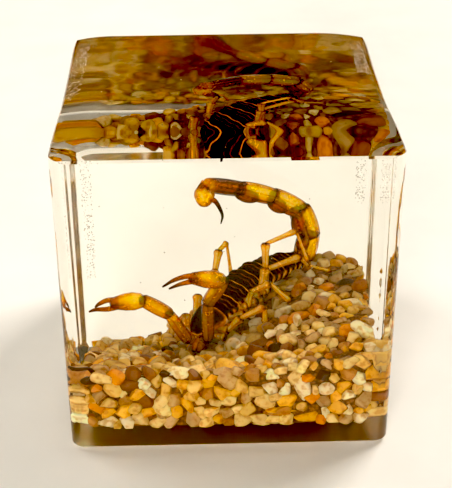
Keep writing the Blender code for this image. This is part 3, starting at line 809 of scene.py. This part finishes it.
def draw_limb(path, widths, heights, side, around=14, relief=level, shade=level):
    """Points, faces and shades of a closed tube. t runs from 0 to 1 along it, and the angle a is 0 at
    the side, a quarter turn at the top."""
    path = np.array(path, float)
    rings = len(path)
    share = np.linspace(0, 1, rings)
    points, faces, shades = [], [], []
    across = np.array(side, float)
    for i in range(rings):
        way = path[min(i + 1, rings - 1)] - path[max(i - 1, 0)]
        way /= np.linalg.norm(way)
        across = across - way * across.dot(way)
        across /= np.linalg.norm(across)
        above = np.cross(across, way)
        for k in range(around):
            a = 2 * math.pi * k / around
            swell = relief(share[i], a)
            points.append(path[i] + across * widths[i] * math.cos(a) * swell
                          + above * heights[i] * math.sin(a) * swell)
            shades.append(shade(share[i], a))
    for i in range(rings - 1):
        for k in range(around):
            j = (k + 1) % around
            faces.append((i * around + k, i * around + j, (i + 1) * around + j, (i + 1) * around + k))
    for ring, tip, turn in ((0, path[0], -1), (rings - 1, path[-1], 1)):
        points.append(tip)
        shades.append(shades[ring * around])
        for k in range(around):
            j = (k + 1) % around
            edge = (ring * around + k, ring * around + j)[::turn]
            faces.append((*edge, len(points) - 1))
    return np.array(points), faces, np.array(shades)


def tapered_limb(places, radii, rings, side, around, cap=1.0, relief=level, shade=level):
    """A smooth tube through a few places, with its own radius at each."""
    rows = smooth_keys([(*place, radius) for place, radius in zip(places, radii)], rings)
    return draw_limb(rows[:, :3], rows[:, 3] * cap, rows[:, 3] * cap, side, around, relief, shade)


def barrel_path(start, end, overlap, rings):
    """Places from one joint to the next and a little past both, so that neighbours overlap."""
    start, end = np.array(start), np.array(end)
    extra = (end - start) / np.linalg.norm(end - start) * overlap
    return (start - extra) + (end - start + 2 * extra) * np.linspace(0, 1, rings)[:, None]


def join_parts(parts):
    """Several drawn parts as one mesh with a shade on every point."""
    points, faces, shades = [], [], []
    start = 0
    for part_points, part_faces, part_shades in parts:
        points.append(part_points)
        faces += [tuple(start + v for v in face) for face in part_faces]
        shades.append(part_shades)
        start += len(part_points)
    mesh = mesh_from(np.concatenate(points), faces, "part")
    tone = mesh.attributes.new("shade", 'FLOAT', 'POINT')
    tone.data.foreach_set("value", np.concatenate(shades).astype(np.float32))
    return mesh


print("the limb tool draws", len(draw_limb([(0, 0, 0), (0, 0, 1)], [1, 1], [1, 1], (1, 0, 0))[1]),
      "faces for the shortest tube")

# %% [markdown]
# ## Cuticle
#
# A scorpion's shell is cuticle, a natural plastic of chitin and protein. Where it is thin it is clear
# amber, and the bright card behind it shines through as pure yellow. Where it is tanned hard it is
# almost black. Seen edge-on the light has more of it to cross, so every limb has a dark outline. The
# shade on each point says how tanned it is, and a Layer Weight node adds the outline. The back plates
# and the legs get finishes of their own.
#
# In air its IOR of 1.56 would give a wet shine. In resin, whose IOR is 1.52, only the ratio of the two
# counts, and that is about 1.03. Light runs on through a limb almost straight. Fine granules, about
# 0.16 mm apart, cover the skin, and drying leaves it mottled and wrinkled.

# %% Cuticle finish
GRANULE_SIZE = 0.16 * MM
MOTTLE_SIZE = 0.7 * MM
WRINKLE_SIZE = 0.45 * MM
WRINKLE_DEPTH = 0.16 * MM
RUBBED = (0.15, 0.35)          # roughness, from the smooth patches to the rubbed ones


def cuticle_finish(name, tones, clearness, glow, shine, outline_depth, granule_depth):
    """Horny cuticle: tones from the thinnest skin to the hardest, and how clear, glowing and grainy it is."""
    finish, tree, shader, place = start_finish(name, {
        "IOR": 1.03, "Transmission Weight": clearness, "Subsurface Weight": glow,
        "Subsurface Radius": (1.0, 0.45, 0.05), "Subsurface Scale": 0.8 * MM,
        "Coat Weight": shine, "Coat Roughness": 0.1, "Coat IOR": 1.4})
    tanned = add_node(tree, "ShaderNodeAttribute", attribute_name="shade")
    mottle = add_node(tree, "ShaderNodeTexNoise", {
        "Vector": place, "Scale": 1 / MOTTLE_SIZE, "Detail": 4.0, "Roughness": 0.6})
    spread = add_node(tree, "ShaderNodeMapRange", {
        "Value": mottle.outputs["Fac"], "From Min": 0.3, "From Max": 0.7, "To Min": -0.1, "To Max": 0.12})
    tanning = add_node(tree, "ShaderNodeMath", {
        0: tanned.outputs["Fac"], 1: spread.outputs["Result"]}, operation='ADD')
    granules = add_node(tree, "ShaderNodeTexVoronoi", {"Vector": place, "Scale": 1 / GRANULE_SIZE})
    granular = add_node(tree, "ShaderNodeBump", {
        "Height": granules.outputs["Distance"], "Distance": granule_depth}, invert=True)
    wrinkles = add_node(tree, "ShaderNodeTexNoise", {
        "Vector": place, "Scale": 1 / WRINKLE_SIZE, "Detail": 2.0, "Distortion": 0.6})
    relief = add_node(tree, "ShaderNodeBump", {
        "Height": wrinkles.outputs["Fac"], "Distance": WRINKLE_DEPTH, "Normal": granular.outputs["Normal"]})
    edge_on = add_node(tree, "ShaderNodeLayerWeight", {"Blend": 0.35, "Normal": relief.outputs["Normal"]})
    outline = add_node(tree, "ShaderNodeMath", {
        0: edge_on.outputs["Facing"], 1: outline_depth, 2: tanning.outputs["Value"]},
        operation='MULTIPLY_ADD', use_clamp=True)
    colour = add_node(tree, "ShaderNodeValToRGB", {"Fac": outline.outputs["Value"]}, stops=tones)
    rubbed = add_node(tree, "ShaderNodeMapRange", {
        "Value": mottle.outputs["Fac"], "To Min": RUBBED[0], "To Max": RUBBED[1]})
    feed(tree, shader, {
        "Base Color": colour.outputs["Color"], "Normal": relief.outputs["Normal"],
        "Coat Normal": relief.outputs["Normal"], "Roughness": rubbed.outputs["Result"]})
    return finish


print("the cuticle's granules are", round(GRANULE_SIZE / MM, 2), "mm apart")

# %% [markdown]
# The tones run from the thinnest skin to the hardest. Tail and pincers are clear amber, the legs are a
# paler gold, and the back is almost black and lets no light through.

# %% Three cuticles
AMBER_TONES = [(0.0, "#FFE6C0"), (0.07, "#FFD668"), (0.15, "#FFDA1C"), (0.27, "#FFB80E"), (0.43, "#DC7E08"),
               (0.62, "#8A4006"), (0.82, "#3E1805"), (1.0, "#140703")]
LEG_TONES = [(0.0, "#FFDC92"), (0.16, "#FFC43C"), (0.32, "#F29C18"), (0.5, "#B46410"), (0.75, "#5A2A0A"),
             (1.0, "#1E0B04")]
BACK_TONES = [(0.0, "#FFD27A"), (0.3, "#F0A030"), (0.5, "#A85A18"), (0.7, "#401A0E"), (1.0, "#120504")]
amber_cuticle = cuticle_finish("amber_cuticle", AMBER_TONES, clearness=0.74, glow=0.35, shine=0.35,
                               outline_depth=0.55, granule_depth=0.03 * MM)
leg_cuticle = cuticle_finish("leg_cuticle", LEG_TONES, clearness=0.45, glow=0.4, shine=0.75,
                             outline_depth=0.6, granule_depth=0.03 * MM)
back_cuticle = cuticle_finish("back_cuticle", BACK_TONES, clearness=0.0, glow=0.05, shine=0.12,
                              outline_depth=0.05, granule_depth=0.04 * MM)
print("cuticles:", amber_cuticle.name, leg_cuticle.name, back_cuticle.name)

# %% [markdown]
# ## The body
#
# The front of the body is one shield, the carapace. Behind it come seven hard back plates, each
# tucked under the rear edge of the one before, so that the body can bend and swell. The plates are
# nearly black. Their rear edges are thin and show gold, as does the soft skin along the flanks. All of
# that could be painted on a texture, but a formula of the place on the tube is sharper and has no seam.

# %% Skin of the carapace and the back plates
def bump(value, middle, width):
    """A smooth bump of height 1. The skins below are sums of such bumps, each with its own height."""
    return math.exp(-((value - middle) / width) ** 2)


def around_gap(a, b):
    """The angle between two directions around a tube."""
    return abs((a - b + math.pi) % (2 * math.pi) - math.pi)


def back_share(a):
    """1 on the back, 0 on the belly, with a quick change at the flanks."""
    return 1 / (1 + math.exp(-10 * (math.sin(a) - 0.12)))


def carapace_relief(t, a):
    """Two ridges along the carapace, with a groove between them."""
    groove = 0.06 * bump(around_gap(a, math.pi / 2), 0, 0.12)
    ridges = 0.035 * (bump(around_gap(a, 1.05), 0, 0.12) + bump(around_gap(a, 2.09), 0, 0.12))
    return 1 + ridges - groove


def carapace_shade(t, a):
    """Dark on the back, and golden below and at both ends."""
    return 0.3 + 0.6 * back_share(a) - 0.5 * bump(t, 1, 0.06) - 0.35 * bump(t, 0, 0.06)


def plate_relief(t, a):
    """A lip before the rear edge, a keel along the back, and folds along the flanks."""
    lip = 0.07 * bump(t, 0.82, 0.09) - 0.14 * bump(t, 1.0, 0.06) + 0.03 * bump(t, 0.42, 0.08)
    keel = 0.03 * bump(around_gap(a, math.pi / 2), 0, 0.12)
    folds = 0.05 * math.cos(6 * math.pi * t) * (1 - back_share(a))
    return 1 + lip + keel * t + folds


def plate_shade(t, a):
    """Nearly black with three ragged golden lines across it, and striped along the flanks."""
    back = back_share(a)
    ragged = 0.03 * math.sin(9 * a)
    edges = (0.85 * bump(t, 0.88 + ragged, 0.04) + 0.55 * bump(t, 0.62 + ragged, 0.03)
             + 0.45 * bump(t, 0.38 + ragged, 0.03))
    flank = 0.42 + 0.4 * math.cos(6 * math.pi * t)
    return (1.0 - edges) * back + flank * (1 - back)


print("the back plates' skin on the back and on the belly:",
      [round(plate_shade(0.5, a), 2) for a in (math.pi / 2, -math.pi / 2)])

# %% [markdown]
# Two bead-like eyes sit in the middle of the carapace. Under the belly hang the combs, with which a
# scorpion feels the ground it walks on. Both are drawn with the limb tool, as very short limbs.

# %% Eyes and combs
BODY_SIDE = (0.7, -0.7, 0.0)   # towards the animal's left, as it lies in the block
EYES = [(-3.95, 4.35, 11.6), (-3.55, 4.75, 11.6)]
EYE_RADIUS = 0.22
COMB_ROOT, COMB_REACH = (-1.1, 7.3, 9.6), (0.3, 0.3, -0.4)
COMB_TEETH, COMB_START, COMB_STEP = 8, 0.5, 0.28
TOOTH_RADII = [0.09, 0.11, 0.12, 0.12, 0.1, 0.05]


def bead(centre, radius):
    """A small black ball, for an eye."""
    turns = np.linspace(0.1, math.pi - 0.1, 10)
    path = np.array(centre) - np.outer(np.cos(turns) * radius, (0, 0, 1))
    size = np.sin(turns) * radius
    return draw_limb(path, size, size, BODY_SIDE, 16, shade=lambda t, a: 1.0)


def comb_parts():
    """The two combs under the belly, each a row of small teeth."""
    parts = []
    for side, tooth in itertools.product((-1, 1), range(COMB_TEETH)):
        root = np.array(COMB_ROOT) + np.array(BODY_SIDE) * side * (COMB_START + COMB_STEP * tooth)
        path = root + np.outer(np.linspace(0, 1, len(TOOTH_RADII)), COMB_REACH)
        size = np.array(TOOTH_RADII)
        parts.append(draw_limb(path, size, size, BODY_SIDE, 8, shade=lambda t, a: 0.3))
    return parts


print("eyes:", len(EYES), "comb teeth:", 2 * COMB_TEETH)

# %% [markdown]
# The body is put together from front to back. Each plate starts a little in front of its joint, where
# it is narrower, and ends a little behind the next, so that it laps over what follows.

# %% The whole body
SHELL_RINGS, SHELL_AROUND = 28, 56
PLATE_START, PLATE_END = -0.05, 1.08   # along the stretch from one joint to the next
PLATE_TUCK = 0.16              # how much narrower a plate is where it starts


def body_parts():
    """The carapace, the back plates, the eyes and the combs."""
    rows = smooth_keys([(*middle, width, height) for middle, width, height in CARAPACE], SHELL_RINGS)
    cap = np.sin(np.linspace(0.35, math.pi / 2, SHELL_RINGS)) ** 0.5    # rounds off its front end
    parts = [draw_limb(rows[:, :3], rows[:, 3] * cap, rows[:, 4] * cap, BODY_SIDE, SHELL_AROUND,
                       carapace_relief, carapace_shade)]
    share = np.linspace(0, 1, SHELL_RINGS)
    along = PLATE_START + (PLATE_END - PLATE_START) * share
    growth = 1 - PLATE_TUCK + PLATE_TUCK * np.sqrt(share)
    for (start, width, height), (end, next_width, next_height) in zip(BACK_PLATES, BACK_PLATES[1:]):
        front, rear = np.array(start), np.array(end)
        parts.append(draw_limb(front + (rear - front) * along[:, None],
                               (width + (next_width - width) * share) * growth,
                               (height + (next_height - height) * share) * growth,
                               BODY_SIDE, SHELL_AROUND, plate_relief, plate_shade))
    return parts + [bead(place, EYE_RADIUS) for place in EYES] + comb_parts()


add_piece("scorpion_body", join_parts(body_parts()), back_cuticle, ("scorpion",), crease=60)

# %% [markdown]
# ## The tail
#
# A short neck, five barrels, and a bulb with the sting. Each barrel has keels along it, lengthwise
# ridges that stiffen it like the ribs of a tin. On the inner side of most of them hangs a round lobe,
# where the next barrel hinges. The faces between the keels are thin and clear yellow, and the lobes
# are amber. The last barrel is tanned brown.

# %% Skin of the tail
KEELS = 8
# Where along the barrel its lobe starts and ends, and its radius against the barrel's
TAIL_LOBES = [None, (0.25, 1.0, 0.62), (0.0, 0.95, 0.72), (0.4, 1.12, 0.72), (0.45, 1.2, 0.78), None]


def keels(a, count=KEELS, width=0.11):
    """1 on the ridges along a limb, 0 between them."""
    step = 2 * math.pi / count
    return bump((a + step / 2) % step - step / 2, 0, width)


def tail_relief(t, a):
    """Narrower at both ends, with keels along it."""
    barrel = 0.74 + 0.26 * math.sin(math.pi * min(1.0, 0.05 + 0.92 * t)) ** 0.5
    return barrel + 0.05 * keels(a)


def tail_shade(t, a):
    """Clear yellow between darker keels, and browner inside the curl and at the joints."""
    inner = 0.24 / (1 + math.exp(-12 * (math.sin(a) - 0.3)))
    joint = 0.45 * (bump(t, 0, 0.05) + bump(t, 1, 0.06)) + 0.12 * (bump(t, 0, 0.14) + bump(t, 1, 0.14))
    return inner + joint + 0.24 * keels(a, width=0.07) + 0.05


def last_barrel_shade(t, a):
    """Brown with fine ribs, and paler at both ends."""
    ribs = 0.2 * math.cos(10 * a) * math.sin(math.pi * t)
    return 0.52 + ribs - 0.3 * bump(t, 1, 0.15) - 0.28 * bump(t, 0, 0.12)


def lobe_shade(t, a):
    """Amber, and browner at both ends."""
    return 0.46 + 0.07 * math.cos(8 * a) + 0.22 * bump(t, 0, 0.2) + 0.22 * bump(t, 1, 0.15)


def bulb_relief(t, a):
    """Low warts."""
    warts = math.sin(9 * a) * math.sin(22 * t) + math.sin(5 * a + 1) * math.sin(15 * t + 2)
    return 1 + 0.035 * warts


def bulb_shade(t, a):
    """Blotched yellow, with a dark neck."""
    neck = 0.4 * bump(t, 0.2, 0.12)
    return 0.14 + 0.16 * math.sin(7 * a) * math.sin(14 * t) + neck + 0.2 * t ** 4


print("keels on a barrel:", KEELS)

# %% [markdown]
# The barrels follow the joints of the pose. The sting is one smooth taper, amber at its root and black
# at its point.

# %% The whole tail
BARREL_RINGS, BARREL_AROUND, LOBE_AROUND = 26, 48, 28
BULB_RINGS, BULB_AROUND = 30, 40
STING_RINGS, STING_AROUND = 24, 14
BARREL_LAP = 0.25              # how far a barrel reaches past its joints, against its radius
LOBE_OUT = 0.62                # how far a lobe's middle line lies off the barrel's, against its radius


def tail_parts():
    """The neck, the barrels, their lobes, the bulb and the sting."""
    parts = []
    share = np.linspace(0, 1, BARREL_RINGS)
    cap = np.sin(np.linspace(0.12, math.pi - 0.12, BARREL_RINGS)) ** 0.5    # rounds off a lobe's ends
    for start, end, radius, lobe in zip(TAIL_JOINTS, TAIL_JOINTS[1:], TAIL_RADII, TAIL_LOBES):
        shade = last_barrel_shade if radius == TAIL_RADII[-1] else tail_shade
        size = np.full(BARREL_RINGS, radius)
        parts.append(draw_limb(barrel_path(start, end, radius * BARREL_LAP, BARREL_RINGS), size, size,
                               BODY_SIDE, BARREL_AROUND, tail_relief, shade))
        if lobe:
            first, last, plump = lobe
            stretch = np.array(end) - np.array(start)
            inward = np.cross(np.array(BODY_SIDE), stretch)
            inward /= np.linalg.norm(inward)
            along = first + (last - first) * share
            middles = np.array(start) + stretch * along[:, None] + inward * radius * LOBE_OUT
            size = radius * plump * cap
            parts.append(draw_limb(middles, size, size, BODY_SIDE, LOBE_AROUND, shade=lobe_shade))
    cap = np.sin(np.linspace(0.5, math.pi - 0.6, BULB_RINGS)) ** 0.3    # and the bulb's
    parts.append(tapered_limb(*zip(*BULB), BULB_RINGS, BODY_SIDE, BULB_AROUND, cap, bulb_relief, bulb_shade))
    parts.append(tapered_limb(*zip(*STING), STING_RINGS, BODY_SIDE, STING_AROUND,
                              shade=lambda t, a: min(1.0, 0.3 + 1.1 * t)))
    return parts


add_piece("scorpion_tail", join_parts(tail_parts()), amber_cuticle, ("scorpion",),
          crease=60)

# %% [markdown]
# ## Pincers
#
# The pincers are the scorpion's hands: a short shoulder, two keeled arm pieces, and a swollen hand
# with two curved fingers. The fingers do the work, so they are tanned darker and harder than the hand.

# %% Arms and hands
ARM_AROUND, ARM_RINGS, HAND_RINGS = 36, 24, 30
FINGER_AROUND, FINGER_RINGS = 16, 24
HAND_SWELL = [(0.0, 0.5), (0.12, 0.86), (0.35, 1.08), (0.6, 1.0), (0.8, 0.8), (1.0, 0.6)]
ARM_SIDE = (0, 1, 0)
STRETCH_LAP = 0.3              # how far a piece reaches past its joints, against its radius


def arm_relief(t, a):
    """Swollen in the middle, with six keels."""
    swell = 0.66 + 0.34 * math.sin(math.pi * (0.12 + 0.8 * t)) ** 0.7
    return swell + 0.05 * keels(a, 6)


def arm_shade(t, a):
    """Golden, with six darker keels and dark joints."""
    joint = 0.5 * (bump(t, 0, 0.08) + bump(t, 1, 0.07))
    return 0.17 + 0.24 * keels(a, 6, 0.09) + joint


def hand_relief(t, a):
    """The swelling of the hand, with six low keels."""
    return float(np.interp(t, *zip(*HAND_SWELL))) + 0.03 * keels(a, 6, 0.14)


def hand_shade(t, a):
    """Yellow with a dark wrist, browner below, towards the fingers and in a streak on one side."""
    belly = 0.12 * max(0.0, -math.sin(a))
    streak = 0.3 * bump(around_gap(a, math.pi), 0, 0.45) / (1 + math.exp(-30 * (t - 0.5)))
    return 0.06 + 0.12 * keels(a, 6, 0.09) + 0.3 * t ** 2.5 + belly + streak + 0.5 * bump(t, 0, 0.06)


def finger_shade(t, a):
    """Amber, and darker towards the tip."""
    return 0.34 + 0.4 * t ** 2 + 0.12 * math.cos(2 * a)


def barrel_chain(joints, radii, side, around, rings, relief, shade):
    """One tube for each stretch between two joints."""
    parts = []
    cap = np.minimum(1, np.sin(np.linspace(0.25, math.pi - 0.25, rings)) * 2.2) ** 0.5    # rounds its ends
    for start, end, radius in zip(joints, joints[1:], radii):
        path = barrel_path(start, end, radius * STRETCH_LAP, rings)
        parts.append(draw_limb(path, radius * cap, radius * cap, side, around, relief, shade))
    return parts


def pincer_parts():
    """Both arms with their hands and fingers."""
    parts = []
    for arm, fingers in ((FAR_ARM, FAR_FINGERS), (NEAR_ARM, NEAR_FINGERS)):
        parts += barrel_chain(arm[:-1], ARM_RADII[:-1], ARM_SIDE, ARM_AROUND, ARM_RINGS,
                              arm_relief, arm_shade)
        parts += barrel_chain(arm[-2:], ARM_RADII[-1:], ARM_SIDE, ARM_AROUND, HAND_RINGS,
                              hand_relief, hand_shade)
        parts += [tapered_limb(finger, FINGER_RADII, FINGER_RINGS, ARM_SIDE, FINGER_AROUND,
                               shade=finger_shade) for finger in fingers]
    return parts


add_piece("scorpion_pincers", join_parts(pincer_parts()), amber_cuticle, ("scorpion",),
          crease=60)

# %% [markdown]
# ## Legs and jaws
#
# The legs are thinner and have up to five pieces, each a little thicker at its far end, where the next
# one hinges. A dark ring marks each hinge, and each leg ends in two small claws. On the near side the
# hip plates that carry the legs show as well, and in front two short jaws.

# %% Legs, claws, hips and jaws
LEG_SIDE = (0, 1, 0.1)
LEG_AROUND, LEG_RINGS = 20, 20
JAW_AROUND, JAW_RINGS, CLAW_AROUND = 12, 12, 8
CLAW_CURVE = [(-0.1, 0.02), (0.12, 0.12), (0.3, 0.2), (0.42, 0.22), (0.5, 0.2)]    # ahead, sideways
CLAW_RADII = (0.13, 0.03)      # at its root and its tip
HIP_DROP = (-0.5, -0.9, -0.9)  # the hip plates lie below and in front of the first leg pieces
HIP_RADIUS = 0.62


def leg_relief(t, a):
    """Thicker towards the far end, with a knob before the joint and four keels."""
    return 0.64 + 0.3 * t ** 0.7 + 0.22 * bump(t, 0.86, 0.12) + 0.05 * keels(a, 4, 0.2)


def leg_shade(t, a):
    """Pale, with four darker keels and a dark ring at each joint."""
    joint = 0.55 * bump(t, 1, 0.08) + 0.3 * bump(t, 0, 0.1)
    return 0.04 + joint + 0.22 * keels(a, 4, 0.12)


def claw_parts(knee, foot):
    """The two claws at the end of a leg."""
    way = np.array(foot) - np.array(knee)
    way /= np.linalg.norm(way)
    across = np.cross(way, (0, 0, 1))
    across /= np.linalg.norm(across)
    parts = []
    for side in (-1, 1):
        path = np.array([foot + way * ahead + across * side * out for ahead, out in CLAW_CURVE])
        size = np.linspace(*CLAW_RADII, len(path))
        parts.append(draw_limb(path, size, size, across, CLAW_AROUND, shade=lambda t, a: 0.4 + 0.5 * t))
    return parts


def leg_parts():
    """The eight legs with their claws, the near hips and the jaws."""
    parts = []
    for leg in NEAR_LEGS + FAR_LEGS:
        parts += barrel_chain(leg, LEG_RADII, LEG_SIDE, LEG_AROUND, LEG_RINGS, leg_relief, leg_shade)
        parts += claw_parts(*leg[-2:])
    for leg in NEAR_LEGS:
        hip = [tuple(np.array(joint) + HIP_DROP) for joint in leg[:2]]
        parts += barrel_chain(hip, [HIP_RADIUS], LEG_SIDE, LEG_AROUND, LEG_RINGS, leg_relief, leg_shade)
    parts += [tapered_limb(jaw, JAW_RADII, JAW_RINGS, BODY_SIDE, JAW_AROUND,
                           shade=lambda t, a: 0.15 + 0.35 * t) for jaw in JAWS]
    return parts


add_piece("scorpion_legs", join_parts(leg_parts()), leg_cuticle, ("scorpion",), crease=60)

# %% [markdown]
# ## The floor
#
# The block stands on a pale sweep of card. Clear things are lit by what is behind them, so the card is
# nearly white, with faint clouds in it as pulp leaves them. It is large enough to fill the picture.

# %% The card floor
FLOOR_HALF = 1.5               # m, from the middle to each side
FLOOR_DROP = 0.2 * MM          # just below the block, so that the two faces don't fight
CLOUD_SIZE = 1 / 60            # about 17 mm

card, tree, shader, place = start_finish("pale_card", {"Roughness": 0.7})
clouds = add_node(tree, "ShaderNodeTexNoise", {"Vector": place, "Scale": 1 / CLOUD_SIZE, "Detail": 4.0})
card_tone = add_node(tree, "ShaderNodeValToRGB", {"Fac": clouds.outputs["Fac"]},
                     stops=[(0.3, "#DEDBD5"), (0.7, "#E4E1DB")])
feed(tree, shader, {"Base Color": card_tone.outputs["Color"]})

bm = bmesh.new()
bmesh.ops.create_grid(bm, x_segments=4, y_segments=4, size=FLOOR_HALF)
floor_mesh = finished_mesh(bm)
floor_mesh.name = "card_floor"
floor_mesh.materials.append(card)
floor = bpy.data.objects.new("card_floor", floor_mesh)
floor.location.z = -FLOOR_DROP
bpy.context.collection.objects.link(floor)
print("the floor is", 2 * FLOOR_HALF, "m wide")

# %% [markdown]
# ## Light
#
# A large soft lamp above and behind brings the gold out, because the bright card shines through the
# resin. A low one in front lights the wall of gravel, and a faint one at the back left softens the
# shadow. The walls of the studio are kept dim, because the polished top mirrors them, and a bright
# wall there would hide the gravel below it in a milky glare.

# %% Studio walls and lamps
LAMPS = [                      # place and aim (m), width (m), power (W), colour
    ((0.40, 0.36, 0.62), (0, 0, 0.02), 0.35, 6.8, "#FFF9F0"),
    ((-0.22, -0.86, 0.17), (0, 0, 0.01), 0.30, 13.0, "#FFFCF6"),
    ((-0.55, 0.30, 0.50), (0, 0, 0.02), 0.40, 3.0, "#FFF9F0"),
]
WALL_TONES = [(0.0, "#4A4741"), (0.55, "#3A3733"), (0.9, "#6A665D"), (0.97, "#FFF6E8")]    # going up

studio = bpy.data.worlds.new("studio")
bpy.context.scene.world = studio
studio.use_nodes = True
tree = studio.node_tree
around = add_node(tree, "ShaderNodeTexCoord")
height = add_node(tree, "ShaderNodeSeparateXYZ", {0: around.outputs["Generated"]})
walls = add_node(tree, "ShaderNodeValToRGB", {"Fac": height.outputs["Z"]}, stops=WALL_TONES)
tree.nodes["Background"].inputs["Strength"].default_value = 1.0
feed(tree, tree.nodes["Background"], {"Color": walls.outputs["Color"]})

for index, (position, aim, width, power, hex_colour) in enumerate(LAMPS):
    lamp = bpy.data.lights.new(f"softbox_{index + 1}", 'AREA')
    lamp.size = width
    lamp.energy = power
    lamp.color = linear(hex_colour)[:3]
    stand = bpy.data.objects.new(lamp.name, lamp)
    stand.location = position
    stand.rotation_euler = (Vector(aim) - Vector(position)).to_track_quat('-Z', 'Y').to_euler()
    bpy.context.collection.objects.link(stand)
print("lamps:", len(LAMPS), "with", sum(lamp[3] for lamp in LAMPS), "W in all")

# %% [markdown]
# ## The camera
#
# The camera looks down at about 29 degrees through a long lens, so that the block's upright edges stay
# nearly parallel. Light has to cross many faces inside the block before it comes out, so it may bend
# and mirror sixteen times.

# %% Camera and light paths
TILT_DOWN, TURN, ROLL = math.radians(29.39), math.radians(1.34), math.radians(-0.42)
CAMERA_PLACE = Vector((-0.079, -3.54, 2.447)) * BLOCK_EDGE
FOCAL_LENGTH, SENSOR_WIDTH = 90.07, 36.0     # mm
LIGHT_CROSSINGS = 16
BLACK_LEVEL = (0.042, 0.05, 0.062)   # the picture's darkest tones, set to black as a photographer does

ahead = Vector((math.sin(TURN) * math.cos(TILT_DOWN), math.cos(TURN) * math.cos(TILT_DOWN),
                -math.sin(TILT_DOWN)))
level_right = Vector((math.cos(TURN), -math.sin(TURN), 0))
level_up = level_right.cross(ahead)
right = level_right * math.cos(ROLL) + level_up * math.sin(ROLL)
upward = level_up * math.cos(ROLL) - level_right * math.sin(ROLL)
lens = bpy.data.cameras.new("camera")
lens.lens = FOCAL_LENGTH
lens.sensor_width = SENSOR_WIDTH
lens.clip_start = 0.001
camera = bpy.data.objects.new("camera", lens)
facing = Matrix((right, upward, -ahead)).transposed().to_4x4()
camera.matrix_world = Matrix.Translation(CAMERA_PLACE) @ facing
bpy.context.collection.objects.link(camera)

scene = bpy.context.scene
scene.camera = camera
scene.view_settings.view_transform = 'Standard'
scene.view_settings.use_curve_mapping = True
scene.view_settings.curve_mapping.black_level = BLACK_LEVEL
scene.view_settings.curve_mapping.update()
scene.cycles.max_bounces = LIGHT_CROSSINGS
scene.cycles.transmission_bounces = LIGHT_CROSSINGS
scene.cycles.glossy_bounces = LIGHT_CROSSINGS
scene.cycles.use_denoising = True
print("camera at", [round(value, 3) for value in CAMERA_PLACE], "m, lens", FOCAL_LENGTH, "mm")
